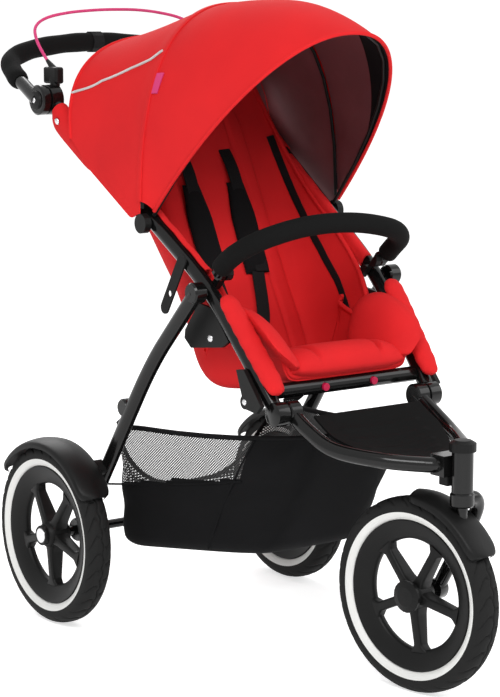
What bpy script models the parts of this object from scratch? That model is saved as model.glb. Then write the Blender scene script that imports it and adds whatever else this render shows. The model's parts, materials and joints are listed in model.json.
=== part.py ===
"""All-terrain three-wheel stroller with a folding frame, built from separate pieces.

Metres, +Z up, forward is -Y, the child's right hand is -X. Lengths along Y are first
written from the rear axle and then shifted, so the origin lies under the middle.
"""

import math

import bmesh
import bpy
from mathutils import Matrix, Vector

# Driving dimensions: the wheels
REAR_AXLE_Y = 0.2723
WHEEL_RADIUS = 0.1525
TYRE_SEGMENTS = 36
TYRE_HALF_WIDTH = 0.022
TYRE_BEAD_RADIUS = 0.1166
RIM_RADIUS = 0.1162
RIM_HALF_WIDTH = 0.0165
SPOKE_COUNT = 5
HUB_RADIUS = 0.026
HUB_HALF_LENGTH = 0.021
AXLE_RADIUS = 0.008
TRACK = 0.503

# Driving dimensions: the frame, as (y, z) places seen from the side
HEAD_Y = -0.749
TRAIL = 0.087
SWIVEL_AT_REST = math.radians(7.74)
KNUCKLE = (-0.498, 0.423)
TUBE_BEND = (-0.340, 0.605)
HANDLE_PIVOT = (0.083, 0.883)
LEG_PIVOT = (-0.345, 0.598)
LEG_BEND = (-0.217, 0.467)
HOOD_PIVOT = (-0.197, 0.695)
BUMPER_PIVOT = (-0.360, 0.628)
CROSS_TUBE = (-0.470, 0.453)
BACK_TUBE = (0.035, 0.8514)
TUBE_RADIUS = 0.0122
FRONT_TUBE_RADIUS = 0.0118
FOAM_RADIUS = 0.0165
GAP = 0.0004
BASKET_REAR_DIP = 0.58

# Half spacings of the frame across X
KNUCKLE_X = 0.1540
FRONT_TUBE_X = 0.1290
BEND_X = 0.170
HANDLE_X = 0.196
LEG_X = 0.1985
HUB_DISC_RADIUS = 0.0255

# Driving dimensions: the canopy, in planes that turn about the hood pivot
HEM_ANGLE = math.radians(46.6)
HEM_REACH = 0.421
HEM_HALF_WIDTH = 0.190
MID_REACH = 0.350
MID_HALF_WIDTH = 0.205
REAR_TOP = (0.020, 0.990)
REAR_BASE = (0.000, 0.832)
FABRIC = 0.002
BOW_FIRST = 0.032
BOW_INSET = 0.0052

# Finishes: colour, roughness, metallic
RED_FABRIC = ((0.72, 0.035, 0.03), 0.85, 0.0)
BLACK_FABRIC = ((0.018, 0.018, 0.02), 0.9, 0.0)
BLACK_PLASTIC = ((0.02, 0.02, 0.021), 0.5, 0.0)
BLACK_PAINT = ((0.012, 0.012, 0.013), 0.22, 0.3)
BLACK_FOAM = ((0.015, 0.015, 0.016), 0.95, 0.0)
RUBBER = ((0.03, 0.03, 0.031), 0.8, 0.0)
MAGENTA = ((0.55, 0.02, 0.16), 0.45, 0.0)
STEEL = ((0.62, 0.62, 0.63), 0.25, 1.0)

for old in list(bpy.data.objects):
    bpy.data.objects.remove(old)

parts = bpy.data.collections.new("three_wheel_stroller")
bpy.context.scene.collection.children.link(parts)


def at(x, y, z):
    """A place given from the rear axle, in the part's own frame."""
    return Vector((x, y + REAR_AXLE_Y, z))


def side_at(x, place):
    """A place given across and as a (y, z) pair seen from the side."""
    return at(x, place[0], place[1])


def between(start, end, share):
    """The value a share of the way from start to end."""
    return start + (end - start) * share


def smooth_path(points, steps):
    """Points on a Catmull-Rom curve through the given ones."""
    ends = [2 * points[0] - points[1]] + list(points) + [2 * points[-1] - points[-2]]
    path = []
    for before, start, end, after in zip(ends, ends[1:], ends[2:], ends[3:]):
        for step in range(steps):
            t = step / steps
            path.append(0.5 * (2 * start + (end - before) * t
                               + (2 * before - 5 * start + 4 * end - after) * t ** 2
                               + (3 * start - before - 3 * end + after) * t ** 3))
    return path + [points[-1]]


def mirrored(half):
    """A path from one side to the other, from the half that ends at X = 0."""
    return half + [Vector((-p.x, p.y, p.z)) for p in reversed(half[:-1])]


def finish(obj, look):
    """Give a piece its own material."""
    colour, roughness, metallic = look
    material = bpy.data.materials.new(obj.name)
    material.use_nodes = True
    shader = material.node_tree.nodes["Principled BSDF"]
    shader.inputs["Base Color"].default_value = (*colour, 1.0)
    shader.inputs["Roughness"].default_value = roughness
    shader.inputs["Metallic"].default_value = metallic
    obj.data.materials.clear()
    obj.data.materials.append(material)
    return obj


def link(name, data):
    """A new object of the part's collection."""
    obj = bpy.data.objects.new(name, data)
    parts.objects.link(obj)
    return obj


def from_bmesh(name, bm):
    """A new object from a finished bmesh, shaded smooth away from its edges."""
    mesh = bpy.data.meshes.new(name)
    bm.to_mesh(mesh)
    bm.free()
    mesh.shade_smooth()
    mesh.set_sharp_from_angle(angle=math.radians(40))
    return link(name, mesh)


def evaluated_mesh(obj):
    """The mesh of an object with its modifiers, its loose caps welded."""
    bpy.context.view_layer.update()
    graph = bpy.context.evaluated_depsgraph_get()
    mesh = bpy.data.meshes.new_from_object(obj.evaluated_get(graph))
    bm = bmesh.new()
    bm.from_mesh(mesh)
    bmesh.ops.remove_doubles(bm, verts=bm.verts, dist=0.00001)
    bm.to_mesh(mesh)
    bm.free()
    return mesh


def as_mesh(curve):
    """Replace a curve object by a mesh object of the same name."""
    name = curve.name
    mesh = evaluated_mesh(curve)
    place = curve.matrix_world.copy()
    bpy.data.objects.remove(curve)
    solid = link(name, mesh)
    solid.matrix_world = place
    return solid


def combine(base, operation, tools):
    """Join tools to a base, or cut them out of it, and drop them."""
    for tool in tools:
        boolean = base.modifiers.new(operation, "BOOLEAN")
        boolean.operation = operation
        boolean.object = tool
    mesh = evaluated_mesh(base)
    base.modifiers.clear()
    base.data = mesh
    for tool in tools:
        bpy.data.objects.remove(tool)
    return base


def fuse(base, *tools):
    """Weld pieces into one."""
    return combine(base, "UNION", tools)


def cut(base, *tools):
    """Cut pieces out of a base."""
    return combine(base, "DIFFERENCE", tools)


def tube(name, path, radius, sides=10, capped=True):
    """A round tube along a path."""
    curve = bpy.data.curves.new(name, "CURVE")
    curve.dimensions = "3D"
    curve.bevel_depth = radius
    curve.bevel_resolution = (sides - 4) // 2
    curve.use_fill_caps = capped
    spline = curve.splines.new("POLY")
    spline.points.add(len(path) - 1)
    for point, place in zip(spline.points, path):
        point.co = (*place, 1.0)
    return as_mesh(link(name, curve))


def sleeve(name, path, outer, wall, sides=10):
    """A hollow sleeve along a path."""
    obj = tube(name, path, outer, sides, capped=False)
    shell = obj.modifiers.new("Wall", "SOLIDIFY")
    shell.thickness = wall
    shell.offset = -1.0
    return obj


def disc(name, centre, axis, radius, thickness, segments=20):
    """A round disc or rod about an axis."""
    bm = bmesh.new()
    bmesh.ops.create_cone(bm, cap_ends=True, segments=segments, radius1=radius,
                          radius2=radius, depth=thickness)
    obj = from_bmesh(name, bm)
    turn = Vector((0, 0, 1)).rotation_difference(Vector(axis)).to_matrix().to_4x4()
    obj.matrix_world = Matrix.Translation(centre) @ turn
    return obj


def block(name, low, high, bevel=0.0):
    """A box between two corners, with rounded edges."""
    bm = bmesh.new()
    bmesh.ops.create_cube(bm, size=1.0)
    for vert in bm.verts:
        vert.co = [between(a, b, c + 0.5) for a, b, c in zip(low, high, vert.co)]
    obj = from_bmesh(name, bm)
    if bevel:
        rounding = obj.modifiers.new("Rounding", "BEVEL")
        rounding.width = bevel
        rounding.segments = 2
    return obj


def plate(name, x, outline, thickness, holes=()):
    """A flat plate square to X, from a (y, z) outline and (y, z, radius) holes."""
    curve = bpy.data.curves.new(name, "CURVE")
    curve.dimensions = "2D"
    curve.fill_mode = "BOTH"
    curve.extrude = thickness / 2
    loops = [outline]
    for y, z, radius in holes:
        loops.append([(y + radius * math.cos(a * math.tau / 12), z + radius * math.sin(a * math.tau / 12))
                      for a in range(12)])
    for loop in loops:
        spline = curve.splines.new("POLY")
        spline.points.add(len(loop) - 1)
        spline.use_cyclic_u = True
        for point, (y, z) in zip(spline.points, loop):
            point.co = (y + REAR_AXLE_Y, z, 0.0, 1.0)
    obj = link(name, curve)
    obj.matrix_world = Matrix(((0, 0, 1, x), (1, 0, 0, 0), (0, 1, 0, 0), (0, 0, 0, 1)))
    return as_mesh(obj)


def round_end(centre, radius, start, end, steps=7):
    """Outline points on an arc from one angle to another, in degrees."""
    angles = [math.radians(between(start, end, k / (steps - 1))) for k in range(steps)]
    return [(centre[0] + radius * math.cos(a), centre[1] + radius * math.sin(a)) for a in angles]


def turned(name, profile, segments, closed=False, sweep=math.tau):
    """A profile of (radius, height) points turned about the local Z axis."""
    mesh = bpy.data.meshes.new(name)
    count = len(profile)
    edges = [(k, k + 1) for k in range(count - 1)]
    if closed:
        edges.append((count - 1, 0))
    mesh.from_pydata([(r, 0.0, h) for r, h in profile], edges, [])
    obj = link(name, mesh)
    screw = obj.modifiers.new("Turn", "SCREW")
    screw.angle = sweep
    screw.steps = segments
    screw.render_steps = segments
    screw.use_merge_vertices = True
    screw.merge_threshold = 0.00001
    return obj


def sheet(name, place, columns, rows, thickness, offset=0.0, crown=None):
    """A sheet laid out by place(u, v) and thickened, fuller where crown(u, v) is higher."""
    bm = bmesh.new()
    bmesh.ops.create_grid(bm, x_segments=columns, y_segments=rows, size=0.5)
    shares = [(v.co.x + 0.5, v.co.y + 0.5) for v in bm.verts]
    for vert, (u, v) in zip(bm.verts, shares):
        vert.co = place(u, v)
    obj = from_bmesh(name, bm)
    shell = obj.modifiers.new("Thickness", "SOLIDIFY")
    shell.thickness = thickness
    shell.offset = offset
    if crown:
        group = obj.vertex_groups.new(name="crown")
        for index, (u, v) in enumerate(shares):
            group.add([index], crown(u, v), "REPLACE")
        shell.vertex_group = group.name
    return obj


def carried_by(name, centre, *pieces):
    """Hang a body's pieces on an empty at its joint."""
    empty = bpy.data.objects.new(name, None)
    parts.objects.link(empty)
    empty.location = centre
    bpy.context.view_layer.update()
    for piece in pieces:
        piece.parent = empty
        piece.matrix_parent_inverse = empty.matrix_world.inverted()


def pillow(u, v, edge=0.4):
    """The fullness of a padded panel: full in the middle, drawn in at its edges."""
    across = 1.0 - abs(2.0 * u - 1.0) ** 3
    along = 1.0 - abs(2.0 * v - 1.0) ** 4
    return edge + (1.0 - edge) * across * along


# Wheels

def tyre_profile():
    """The tyre's section, from the tread round to the beads, down its outer side."""
    tread = WHEEL_RADIUS / math.cos(math.pi / TYRE_SEGMENTS)
    half = [(tread, 0.007), (tread - 0.0035, 0.0155), (tread - 0.011, 0.0208),
            (tread - 0.022, TYRE_HALF_WIDTH), (TYRE_BEAD_RADIUS + 0.003, 0.0195),
            (TYRE_BEAD_RADIUS, 0.0150)]
    upper = list(reversed(half))
    return upper + [(r, -h) for r, h in half]


def rim_piece(name):
    """A deep rim with five spokes and a bored hub, about local Z."""
    lip = RIM_RADIUS - 0.006
    dish = RIM_RADIUS - 0.014
    half = [(dish, 0.007), (lip, RIM_HALF_WIDTH), (RIM_RADIUS, RIM_HALF_WIDTH)]
    ring = turned(name, half + [(r, -h) for r, h in reversed(half)], TYRE_SEGMENTS, closed=True)
    hub = disc("hub", Vector(), (0, 0, 1), HUB_RADIUS, 2 * HUB_HALF_LENGTH, 24)
    spokes = []
    for index in range(SPOKE_COUNT):
        spoke = block("spoke", (-0.0085, 0.015, -0.007), (0.0085, dish + 0.004, 0.007))
        spoke.rotation_euler.z = math.tau * index / SPOKE_COUNT
        spokes.append(spoke)
    bore = disc("bore", Vector(), (0, 0, 1), AXLE_RADIUS + GAP, 0.1, 16)
    return cut(fuse(ring, hub, *spokes), bore)


def wheel(suffix, centre, turn, cap_side, cap_radius, cap_look):
    """A tyre, a rim and a hub cap on one axle."""
    tyre = finish(turned("tyre_" + suffix, tyre_profile(), TYRE_SEGMENTS, closed=True), RUBBER)
    rim = finish(rim_piece("rim_" + suffix), BLACK_PLASTIC)
    inner = HUB_HALF_LENGTH + GAP
    dome = [(0.0, inner + 0.0075), (cap_radius * 0.6, inner + 0.007), (cap_radius, inner + 0.004),
            (cap_radius, inner), (0.0, inner)]
    cap = finish(turned("hub_cap_" + suffix, dome, 20), cap_look)
    half_step = Matrix.Rotation(math.pi / TYRE_SEGMENTS, 4, "Z")
    upright = Matrix.Rotation(math.pi / 2, 4, "Y")
    flip = Matrix.Rotation(math.pi if cap_side < 0 else 0.0, 4, "Z")
    place = Matrix.Translation(centre) @ Matrix.Rotation(turn, 4, "Z") @ flip @ upright @ half_step
    for piece in (tyre, rim, cap):
        piece.matrix_world = place
    carried_by("body_wheel_" + suffix, centre, tyre, rim, cap)


def fender(name, centre, turn, first, last):
    """A curved guard over a wheel, between two angles above the forward line."""
    section = [(0.149, 0.029), (0.158, 0.026), (0.1615, 0.013), (0.1625, 0.0),
               (0.1615, -0.013), (0.158, -0.026), (0.149, -0.029)]
    steps = max(5, round((last - first) / 9))
    guard = turned(name, section, steps, sweep=math.radians(last - first))
    skin = guard.modifiers.new("Skin", "SOLIDIFY")
    skin.thickness = 0.0025
    skin.offset = 1.0
    guard.data = evaluated_mesh(guard)
    guard.modifiers.clear()
    axis = Matrix(((0, 0, 1, 0), (-1, 0, 0, 0), (0, -1, 0, 0), (0, 0, 0, 1)))
    lift = Matrix.Rotation(math.radians(-last), 4, "Z")
    guard.matrix_world = Matrix.Translation(centre) @ Matrix.Rotation(turn, 4, "Z") @ axis @ lift
    return guard


# Rear legs, axle, fenders and brake

def rear_leg(suffix, side):
    """A bent leg with a pivot eye at the top and an axle lug at the bottom."""
    corners = [side_at(side * LEG_X, LEG_PIVOT), side_at(side * LEG_X, LEG_BEND),
               at(side * LEG_X, 0.0, WHEEL_RADIUS)]
    round_bend = [between(corners[1], corners[0], 0.3), corners[1], between(corners[1], corners[2], 0.2)]
    path = [corners[0]] + smooth_path(round_bend, 3) + [corners[2]]
    leg = tube("rear_leg_" + suffix, path, TUBE_RADIUS, 10)
    eye = disc("eye", corners[0], (1, 0, 0), 0.0165, 0.0235)
    lug = disc("lug", corners[2], (1, 0, 0), 0.020, 0.026)
    hook_place = at(side * (LEG_X - 0.002), -0.148, 0.387)
    hook = disc("hook", hook_place, (1, 0, 0), 0.0150, 0.028, 16)
    bore = disc("bore", corners[2], (1, 0, 0), AXLE_RADIUS + GAP, 0.1, 16)
    leg = cut(fuse(leg, eye, lug, hook), bore)
    return finish(leg, BLACK_PAINT)


def rear_fender(suffix, side):
    """A rear wheel's guard, with a tab that reaches the leg."""
    centre = at(side * TRACK / 2, 0.0, WHEEL_RADIUS)
    guard = fender("rear_fender_" + suffix, centre, 0.0, 28.0, 139.0)
    inner = LEG_X + TUBE_RADIUS + 0.0007
    outer = TRACK / 2 - 0.0295
    low = at(min(side * inner, side * outer), -0.098, 0.268)
    high = at(max(side * inner, side * outer), -0.073, 0.286)
    return finish(fuse(guard, block("tab", low, high)), BLACK_PLASTIC)


def brake_pedal():
    """A foot bar on a bush that turns about the rear axle."""
    bush = tube("brake_pedal", [at(x, 0.0, WHEEL_RADIUS) for x in (-0.045, 0.045)], 0.0145, 12)
    arm = block("arm", at(-0.018, 0.008, WHEEL_RADIUS - 0.004), at(0.018, 0.050, WHEEL_RADIUS + 0.006))
    tread = block("tread", at(-0.045, 0.046, WHEEL_RADIUS - 0.004), at(0.045, 0.078, WHEEL_RADIUS + 0.008))
    bore = disc("bore", at(0, 0, WHEEL_RADIUS), (1, 0, 0), AXLE_RADIUS + GAP, 0.2, 16)
    return finish(cut(fuse(bush, arm, tread), bore), BLACK_PLASTIC)


def rear_end():
    """Both legs with the axle, the guards, the brake and the wheels."""
    axle_reach = TRACK / 2 + HUB_HALF_LENGTH - 0.001
    axle_ends = [at(x, 0.0, WHEEL_RADIUS) for x in (-axle_reach, axle_reach)]
    pieces = [finish(tube("rear_axle", axle_ends, AXLE_RADIUS, 12), STEEL)]
    for suffix, side in (("r", -1), ("l", 1)):
        pieces.append(rear_leg(suffix, side))
        pieces.append(rear_fender(suffix, side))
        centre = at(side * TRACK / 2, 0.0, WHEEL_RADIUS)
        wheel("rear_" + suffix, centre, 0.0, side, 0.018, STEEL)
    carried_by("body_rear_legs", side_at(0.0, LEG_PIVOT), *pieces)
    carried_by("body_brake_pedal", at(0, 0, WHEEL_RADIUS), brake_pedal())


# Front frame, fork and front wheel

def head_tube():
    """The upright bearing tube with the lug that takes both front tubes."""
    wall = [(0.0105, 0.388), (0.0165, 0.388), (0.0165, 0.326), (0.0105, 0.326)]
    bearing = turned("head_tube", wall, 24, closed=True)
    bearing.location = at(0.0, HEAD_Y, 0.0)
    bearing.data = evaluated_mesh(bearing)
    bearing.modifiers.clear()
    lug = block("lug", *lug_corners(0.0))
    return finish(fuse(bearing, lug), BLACK_PAINT)


def lug_corners(grow):
    """The lug's lowest and highest corners, grown by a clearance."""
    low = at(-0.026 - grow, HEAD_Y + 0.0125 - grow, 0.349 - grow)
    high = at(0.026 + grow, HEAD_Y + 0.043 + grow, 0.381 + grow)
    return low, high


def front_tube(suffix, side):
    """A tube from the knuckle forward and in to the head tube's lug."""
    half = [side_at(side * FRONT_TUBE_X, KNUCKLE), at(side * 0.128, -0.540, 0.400),
            at(side * 0.119, -0.592, 0.3785), at(side * 0.083, -0.660, 0.3695),
            at(side * 0.040, -0.708, 0.366), at(side * 0.014, -0.721, 0.365)]
    rail = tube("front_tube_" + suffix, smooth_path(half, 3), FRONT_TUBE_RADIUS, 10)
    eye = disc("eye", half[0], (1, 0, 0), 0.019, 2 * FRONT_TUBE_RADIUS)
    rail = cut(fuse(rail, eye), block("lug", *lug_corners(GAP)))
    return finish(rail, BLACK_PAINT)


def footwell():
    """A shallow tray for the child's feet, slung between the front tubes."""
    def place(u, v):
        y = between(-0.527, -0.700, v)
        half_width = between(0.107, 0.030, max(0.0, (v - 0.25) / 0.75) ** 1.35)
        z = 0.368 + 0.050 * (1.0 - v) ** 2.2 - 0.012 * math.sin(math.pi * v) * math.sin(math.pi * u)
        return at(between(-half_width, half_width, u), y, z)
    return finish(sheet("footwell", place, 6, 6, 0.004), BLACK_PLASTIC)


def swivel_frame():
    """The front wheel's forward and far-side directions, and its centre."""
    forward = Vector((math.sin(SWIVEL_AT_REST), -math.cos(SWIVEL_AT_REST), 0.0))
    far = Vector((math.cos(SWIVEL_AT_REST), math.sin(SWIVEL_AT_REST), 0.0))
    centre = at(0.0, HEAD_Y, WHEEL_RADIUS) - TRAIL * forward
    return forward, far, centre


def fork():
    """A one-sided fork: stem, crown, arm and the wheel's axle."""
    forward, far, centre = swivel_frame()
    head = at(0.0, HEAD_Y, 0.0)
    lift = Vector((0, 0, 1))
    path = [head + lift * 0.3148, head + far * 0.030 + lift * 0.312,
            head + far * 0.0470 - forward * 0.012 + lift * 0.286,
            head + far * 0.0480 - forward * 0.050 + lift * 0.218, centre + far * 0.0480]
    arm = tube("fork", smooth_path(path, 3), 0.0105, 12)
    crown = disc("crown", head + lift * 0.31475, (0, 0, 1), 0.0185, 0.0215, 20)
    stem = disc("stem", head + lift * 0.3530, (0, 0, 1), 0.0100, 0.0660, 24)
    dropout = disc("dropout", centre + far * 0.0480, far, 0.0165, 0.021)
    axle_length = 0.048 + HUB_HALF_LENGTH - 0.001
    axle = disc("axle", centre + far * (0.048 - axle_length / 2), far, AXLE_RADIUS, axle_length, 16)
    return finish(fuse(arm, crown, stem, dropout, axle), BLACK_PAINT)


def front_fender():
    """The front wheel's guard, with the boss that bolts it under the crown."""
    centre = swivel_frame()[2]
    guard = fender("front_fender", centre, SWIVEL_AT_REST, 27.0, 92.0)
    boss = disc("boss", at(0.0, HEAD_Y, 0.2936), (0, 0, 1), 0.0075, 0.0200, 12)
    return finish(fuse(guard, boss), BLACK_PLASTIC)


def swivel_lock():
    """A sliding catch under the lug that keeps the fork straight ahead."""
    low = at(-0.012, HEAD_Y + 0.020, 0.332)
    high = at(0.012, HEAD_Y + 0.040, 0.3485)
    return finish(block("swivel_lock", low, high, 0.002), BLACK_PLASTIC)


def front_end():
    """The front frame, its swivelling fork and the front wheel."""
    pieces = [head_tube(), footwell()]
    dome = [(0.0, 0.406), (0.013, 0.4055), (0.0205, 0.401), (0.0205, 0.3884), (0.0, 0.3884)]
    cap = finish(turned("head_cap", dome, 24), BLACK_PLASTIC)
    cap.location = at(0.0, HEAD_Y, 0.0)
    pieces += [cap, front_tube("r", -1), front_tube("l", 1)]
    carried_by("body_front_frame", side_at(0.0, KNUCKLE), *pieces)
    carried_by("body_swivel_lock", at(0.0, HEAD_Y + 0.030, 0.340), swivel_lock())
    carried_by("body_front_fork", at(0.0, HEAD_Y, 0.326), fork(), front_fender())
    wheel("front", swivel_frame()[2], SWIVEL_AT_REST, -1, HUB_RADIUS - 0.001, BLACK_PLASTIC)


# Main frame

def main_path(side):
    """The three places that a main tube runs through."""
    return [side_at(side * KNUCKLE_X, KNUCKLE), side_at(side * BEND_X, TUBE_BEND),
            side_at(side * HANDLE_X, HANDLE_PIVOT)]


def main_tube(suffix, side):
    """A bent side tube with a hinge eye at each end."""
    low, bend, top = main_path(side)
    round_bend = [between(bend, low, 0.16), bend, between(bend, top, 0.07)]
    path = [low] + smooth_path(round_bend, 3) + [top]
    obj = tube("main_tube_" + suffix, path, TUBE_RADIUS, 10)
    knuckle = disc("knuckle", low, (1, 0, 0), 0.019, 2 * TUBE_RADIUS)
    hinge = disc("hinge", top, (1, 0, 0), HUB_DISC_RADIUS, 2 * TUBE_RADIUS, 24)
    return finish(fuse(obj, knuckle, hinge), BLACK_PAINT)


def cross_tube():
    """The seat's front tube, with a pocket for each release button."""
    reach = KNUCKLE_X - TUBE_RADIUS - 0.0005
    ends = [side_at(-reach, CROSS_TUBE), side_at(reach, CROSS_TUBE)]
    obj = tube("seat_cross_tube", ends, TUBE_RADIUS, 16)
    pockets = [disc("pocket", button_place(side), (0, 1, 0), 0.0068, 0.020, 16) for side in (-1, 1)]
    return finish(cut(obj, *pockets), BLACK_PAINT)


def button_place(side):
    """The middle of a release button's pocket on the front of the cross tube."""
    return at(side * 0.049, CROSS_TUBE[0] - TUBE_RADIUS + 0.003, CROSS_TUBE[1])


def button(suffix, side):
    """A push button that stands proud of the cross tube."""
    centre = button_place(side) - Vector((0, 0.0020, 0))
    obj = disc("button_" + suffix, centre, (0, 1, 0), 0.0062, 0.009, 16)
    return finish(obj, MAGENTA)


def gusset_plate(suffix, side):
    """The fold lock's plate behind the lower part of a main tube."""
    rise = math.atan2(TUBE_BEND[1] - KNUCKLE[1], TUBE_BEND[0] - KNUCKLE[0])
    off = TUBE_RADIUS + GAP
    edge = []
    for share in (0.86, 0.60):
        y = between(KNUCKLE[0], TUBE_BEND[0], share) + off * math.sin(rise)
        z = between(KNUCKLE[1], TUBE_BEND[1], share) - off * math.cos(rise)
        edge.append((y, z))
    outline = edge + [(-0.376, 0.513), (-0.292, 0.502), (-0.274, 0.516), (-0.276, 0.530), (-0.313, 0.576)]
    return finish(plate("gusset_plate_" + suffix, side * 0.1690, outline, 0.006), BLACK_PLASTIC)


def accessory_bracket(suffix, side):
    """A bracket on the outside of a main tube, with a lobe and a hole."""
    lobe = (-0.450, 0.438)
    rounded = round_end(lobe, 0.0115, -110, 50)
    outline = [(-0.492, 0.437), (-0.479, 0.424)] + rounded + [(-0.428, 0.486), (-0.447, 0.489)]
    return finish(plate("accessory_bracket_" + suffix, side * 0.1790, outline, 0.0075, [(*lobe, 0.0042)]),
                  BLACK_PLASTIC)


def bumper_bracket(suffix, side):
    """The plate inside a main tube that carries the bumper bar's pivot."""
    lower = round_end(TUBE_BEND, 0.0125, 130 + 180, 130 + 360)
    upper = round_end(BUMPER_PIVOT, 0.0125, 130, 130 + 180)
    outline = lower + upper
    return finish(plate("bumper_bracket_" + suffix, side * 0.1510, outline, 0.0110), BLACK_PLASTIC)


def hood_clamp(suffix, side):
    """The round clamp on the outside of a main tube that the canopy bows turn on."""
    obj = disc("hood_clamp_" + suffix, side_at(side * 0.1985, HOOD_PIVOT), (1, 0, 0), 0.0160, 0.012, 20)
    return finish(obj, BLACK_PLASTIC)


def cable_anchor(suffix, side):
    """The fold release's fitting on top of a handle hinge."""
    low = at(min(side * 0.177, side * 0.194), 0.070, 0.9095)
    high = at(max(side * 0.177, side * 0.194), 0.112, 0.9380)
    return finish(block("cable_anchor_" + suffix, low, high, 0.004), BLACK_PLASTIC)


def fold_cable():
    """The release cord that loops from one fitting to the other."""
    half = [at(-0.1855, 0.100, 0.9412), at(-0.1850, 0.118, 0.954), at(-0.1815, 0.150, 0.981),
            at(-0.168, 0.176, 1.0035), at(-0.140, 0.187, 1.0185), at(-0.095, 0.188, 1.0275),
            at(-0.045, 0.178, 1.0320), at(0.0, 0.172, 1.0330)]
    return finish(tube("fold_cable", smooth_path(mirrored(half), 2), 0.0027, 8), MAGENTA)


def frame_strap():
    """A slotted rubber strap that hooks the folded frame shut."""
    top, foot, half = (-0.291, 0.643), (-0.243, 0.563), 0.0105
    lean = math.degrees(math.atan2(foot[1] - top[1], foot[0] - top[0]))
    outline = round_end(foot, half, lean - 90, lean + 90, 9)
    outline += round_end(top, half, lean + 90, lean + 270, 9)
    hole = (between(top[0], foot[0], 0.70), between(top[1], foot[1], 0.70), 0.0055)
    x = between(BEND_X, HANDLE_X, 0.12) + TUBE_RADIUS + 0.0025
    return finish(plate("frame_strap", -x, outline, 0.003, [hole]), RUBBER)


# Seat

def seat_back():
    """The padded backrest between the main tubes."""
    def place(u, v):
        half_width = between(0.128, 0.146, min(1.0, v * 2.0)) - 0.018 * max(0.0, (v - 0.8) / 0.2) ** 2
        return at(between(-half_width, half_width, u), between(-0.228, -0.020, v), between(0.478, 0.884, v))
    return finish(sheet("seat_back", place, 8, 9, 0.034, crown=pillow), RED_FABRIC)


def seat_base():
    """The padded seat, from the backrest to over the cross tube."""
    def place(u, v):
        half_width = between(0.124, 0.112, v)
        z = between(0.462, 0.493, v) - 0.012 * math.sin(math.pi * v)
        return at(between(-half_width, half_width, u), between(-0.262, -0.484, v), z)
    return finish(sheet("seat_base", place, 8, 8, 0.044, crown=pillow), RED_FABRIC)


def seat_wing(suffix, side):
    """The padded side wall that joins the backrest to the seat."""
    def place(u, v):
        low_y, high_y = between(-0.250, -0.478, u), between(-0.150, -0.445, u)
        low_z, high_z = between(0.492, 0.488, u), between(0.668, 0.556, u ** 0.75)
        x = between(0.1455, 0.1260, u) - 0.004 * math.sin(math.pi * v)
        return at(side * x, between(low_y, high_y, v), between(low_z, high_z, v))
    return finish(sheet("seat_wing_" + suffix, place, 8, 4, 0.015, crown=pillow), RED_FABRIC)


def tube_sleeve(suffix, side):
    """The padded fabric sleeve on the front of a main tube's lower part."""
    low, bend, _ = main_path(side)
    rise = math.atan2(TUBE_BEND[1] - KNUCKLE[1], TUBE_BEND[0] - KNUCKLE[0])
    away = Vector((0, -math.sin(rise), math.cos(rise))) * (TUBE_RADIUS + 0.0125)
    path = [between(low, bend, share) + away for share in (0.12, 0.16, 0.30, 0.45, 0.60, 0.74, 0.78)]
    return finish(tube("tube_sleeve_" + suffix, path, 0.0118, 12), RED_FABRIC)


def harness_pad(suffix, side):
    """A shoulder pad lying on the backrest."""
    lean = math.atan2(0.884 - 0.478, -0.020 + 0.228)
    bm = bmesh.new()
    bmesh.ops.create_cube(bm, size=1.0)
    for vert in bm.verts:
        vert.co = (vert.co.x * 0.046, vert.co.y * 0.140, vert.co.z * 0.012)
    pad = from_bmesh("harness_pad_" + suffix, bm)
    rounding = pad.modifiers.new("Rounding", "BEVEL")
    rounding.width = 0.005
    rounding.segments = 2
    middle = at(side * 0.055, -0.120, 0.689)
    out = Vector((0, -math.sin(lean), math.cos(lean))) * 0.0265
    pad.matrix_world = Matrix.Translation(middle + out) @ Matrix.Rotation(lean, 4, "X")
    return finish(pad, BLACK_FABRIC)


# Basket

def basket():
    """A sagging fabric basket under the seat, open at the top."""
    bm = bmesh.new()
    bmesh.ops.create_cube(bm, size=1.0)
    bmesh.ops.delete(bm, geom=[f for f in bm.faces if f.normal.z > 0.5], context="FACES_ONLY")
    bmesh.ops.subdivide_edges(bm, edges=bm.edges, cuts=4, use_grid_fill=True)
    for vert in bm.verts:
        across, along, up = 2 * vert.co.x, 0.5 - vert.co.y, vert.co.z + 0.5
        up *= 1.0 - BASKET_REAR_DIP * (1.0 - abs(across) ** 3) * max(0.0, 1.0 - along / 0.3)
        y = between(between(-0.050, -0.400, along), between(-0.046, -0.522, along), up)
        low = between(0.128, 0.172, along) - 0.008 * math.sin(math.pi * along) * (1 - abs(across))
        high = between(0.345, 0.384, along) - 0.010 * math.sin(math.pi * along)
        half_width = between(between(0.168, 0.105, along), between(0.178, 0.104, along), up)
        bulge = 0.006 * math.sin(math.pi * up) * math.sin(math.pi * along)
        vert.co = at(across * (half_width + bulge), y, between(low, high, up))
    bmesh.ops.recalc_face_normals(bm, faces=bm.faces)
    obj = from_bmesh("basket", bm)
    wall = obj.modifiers.new("Wall", "SOLIDIFY")
    wall.thickness = 0.003
    wall.offset = -1.0
    return finish(obj, BLACK_FABRIC)


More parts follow.
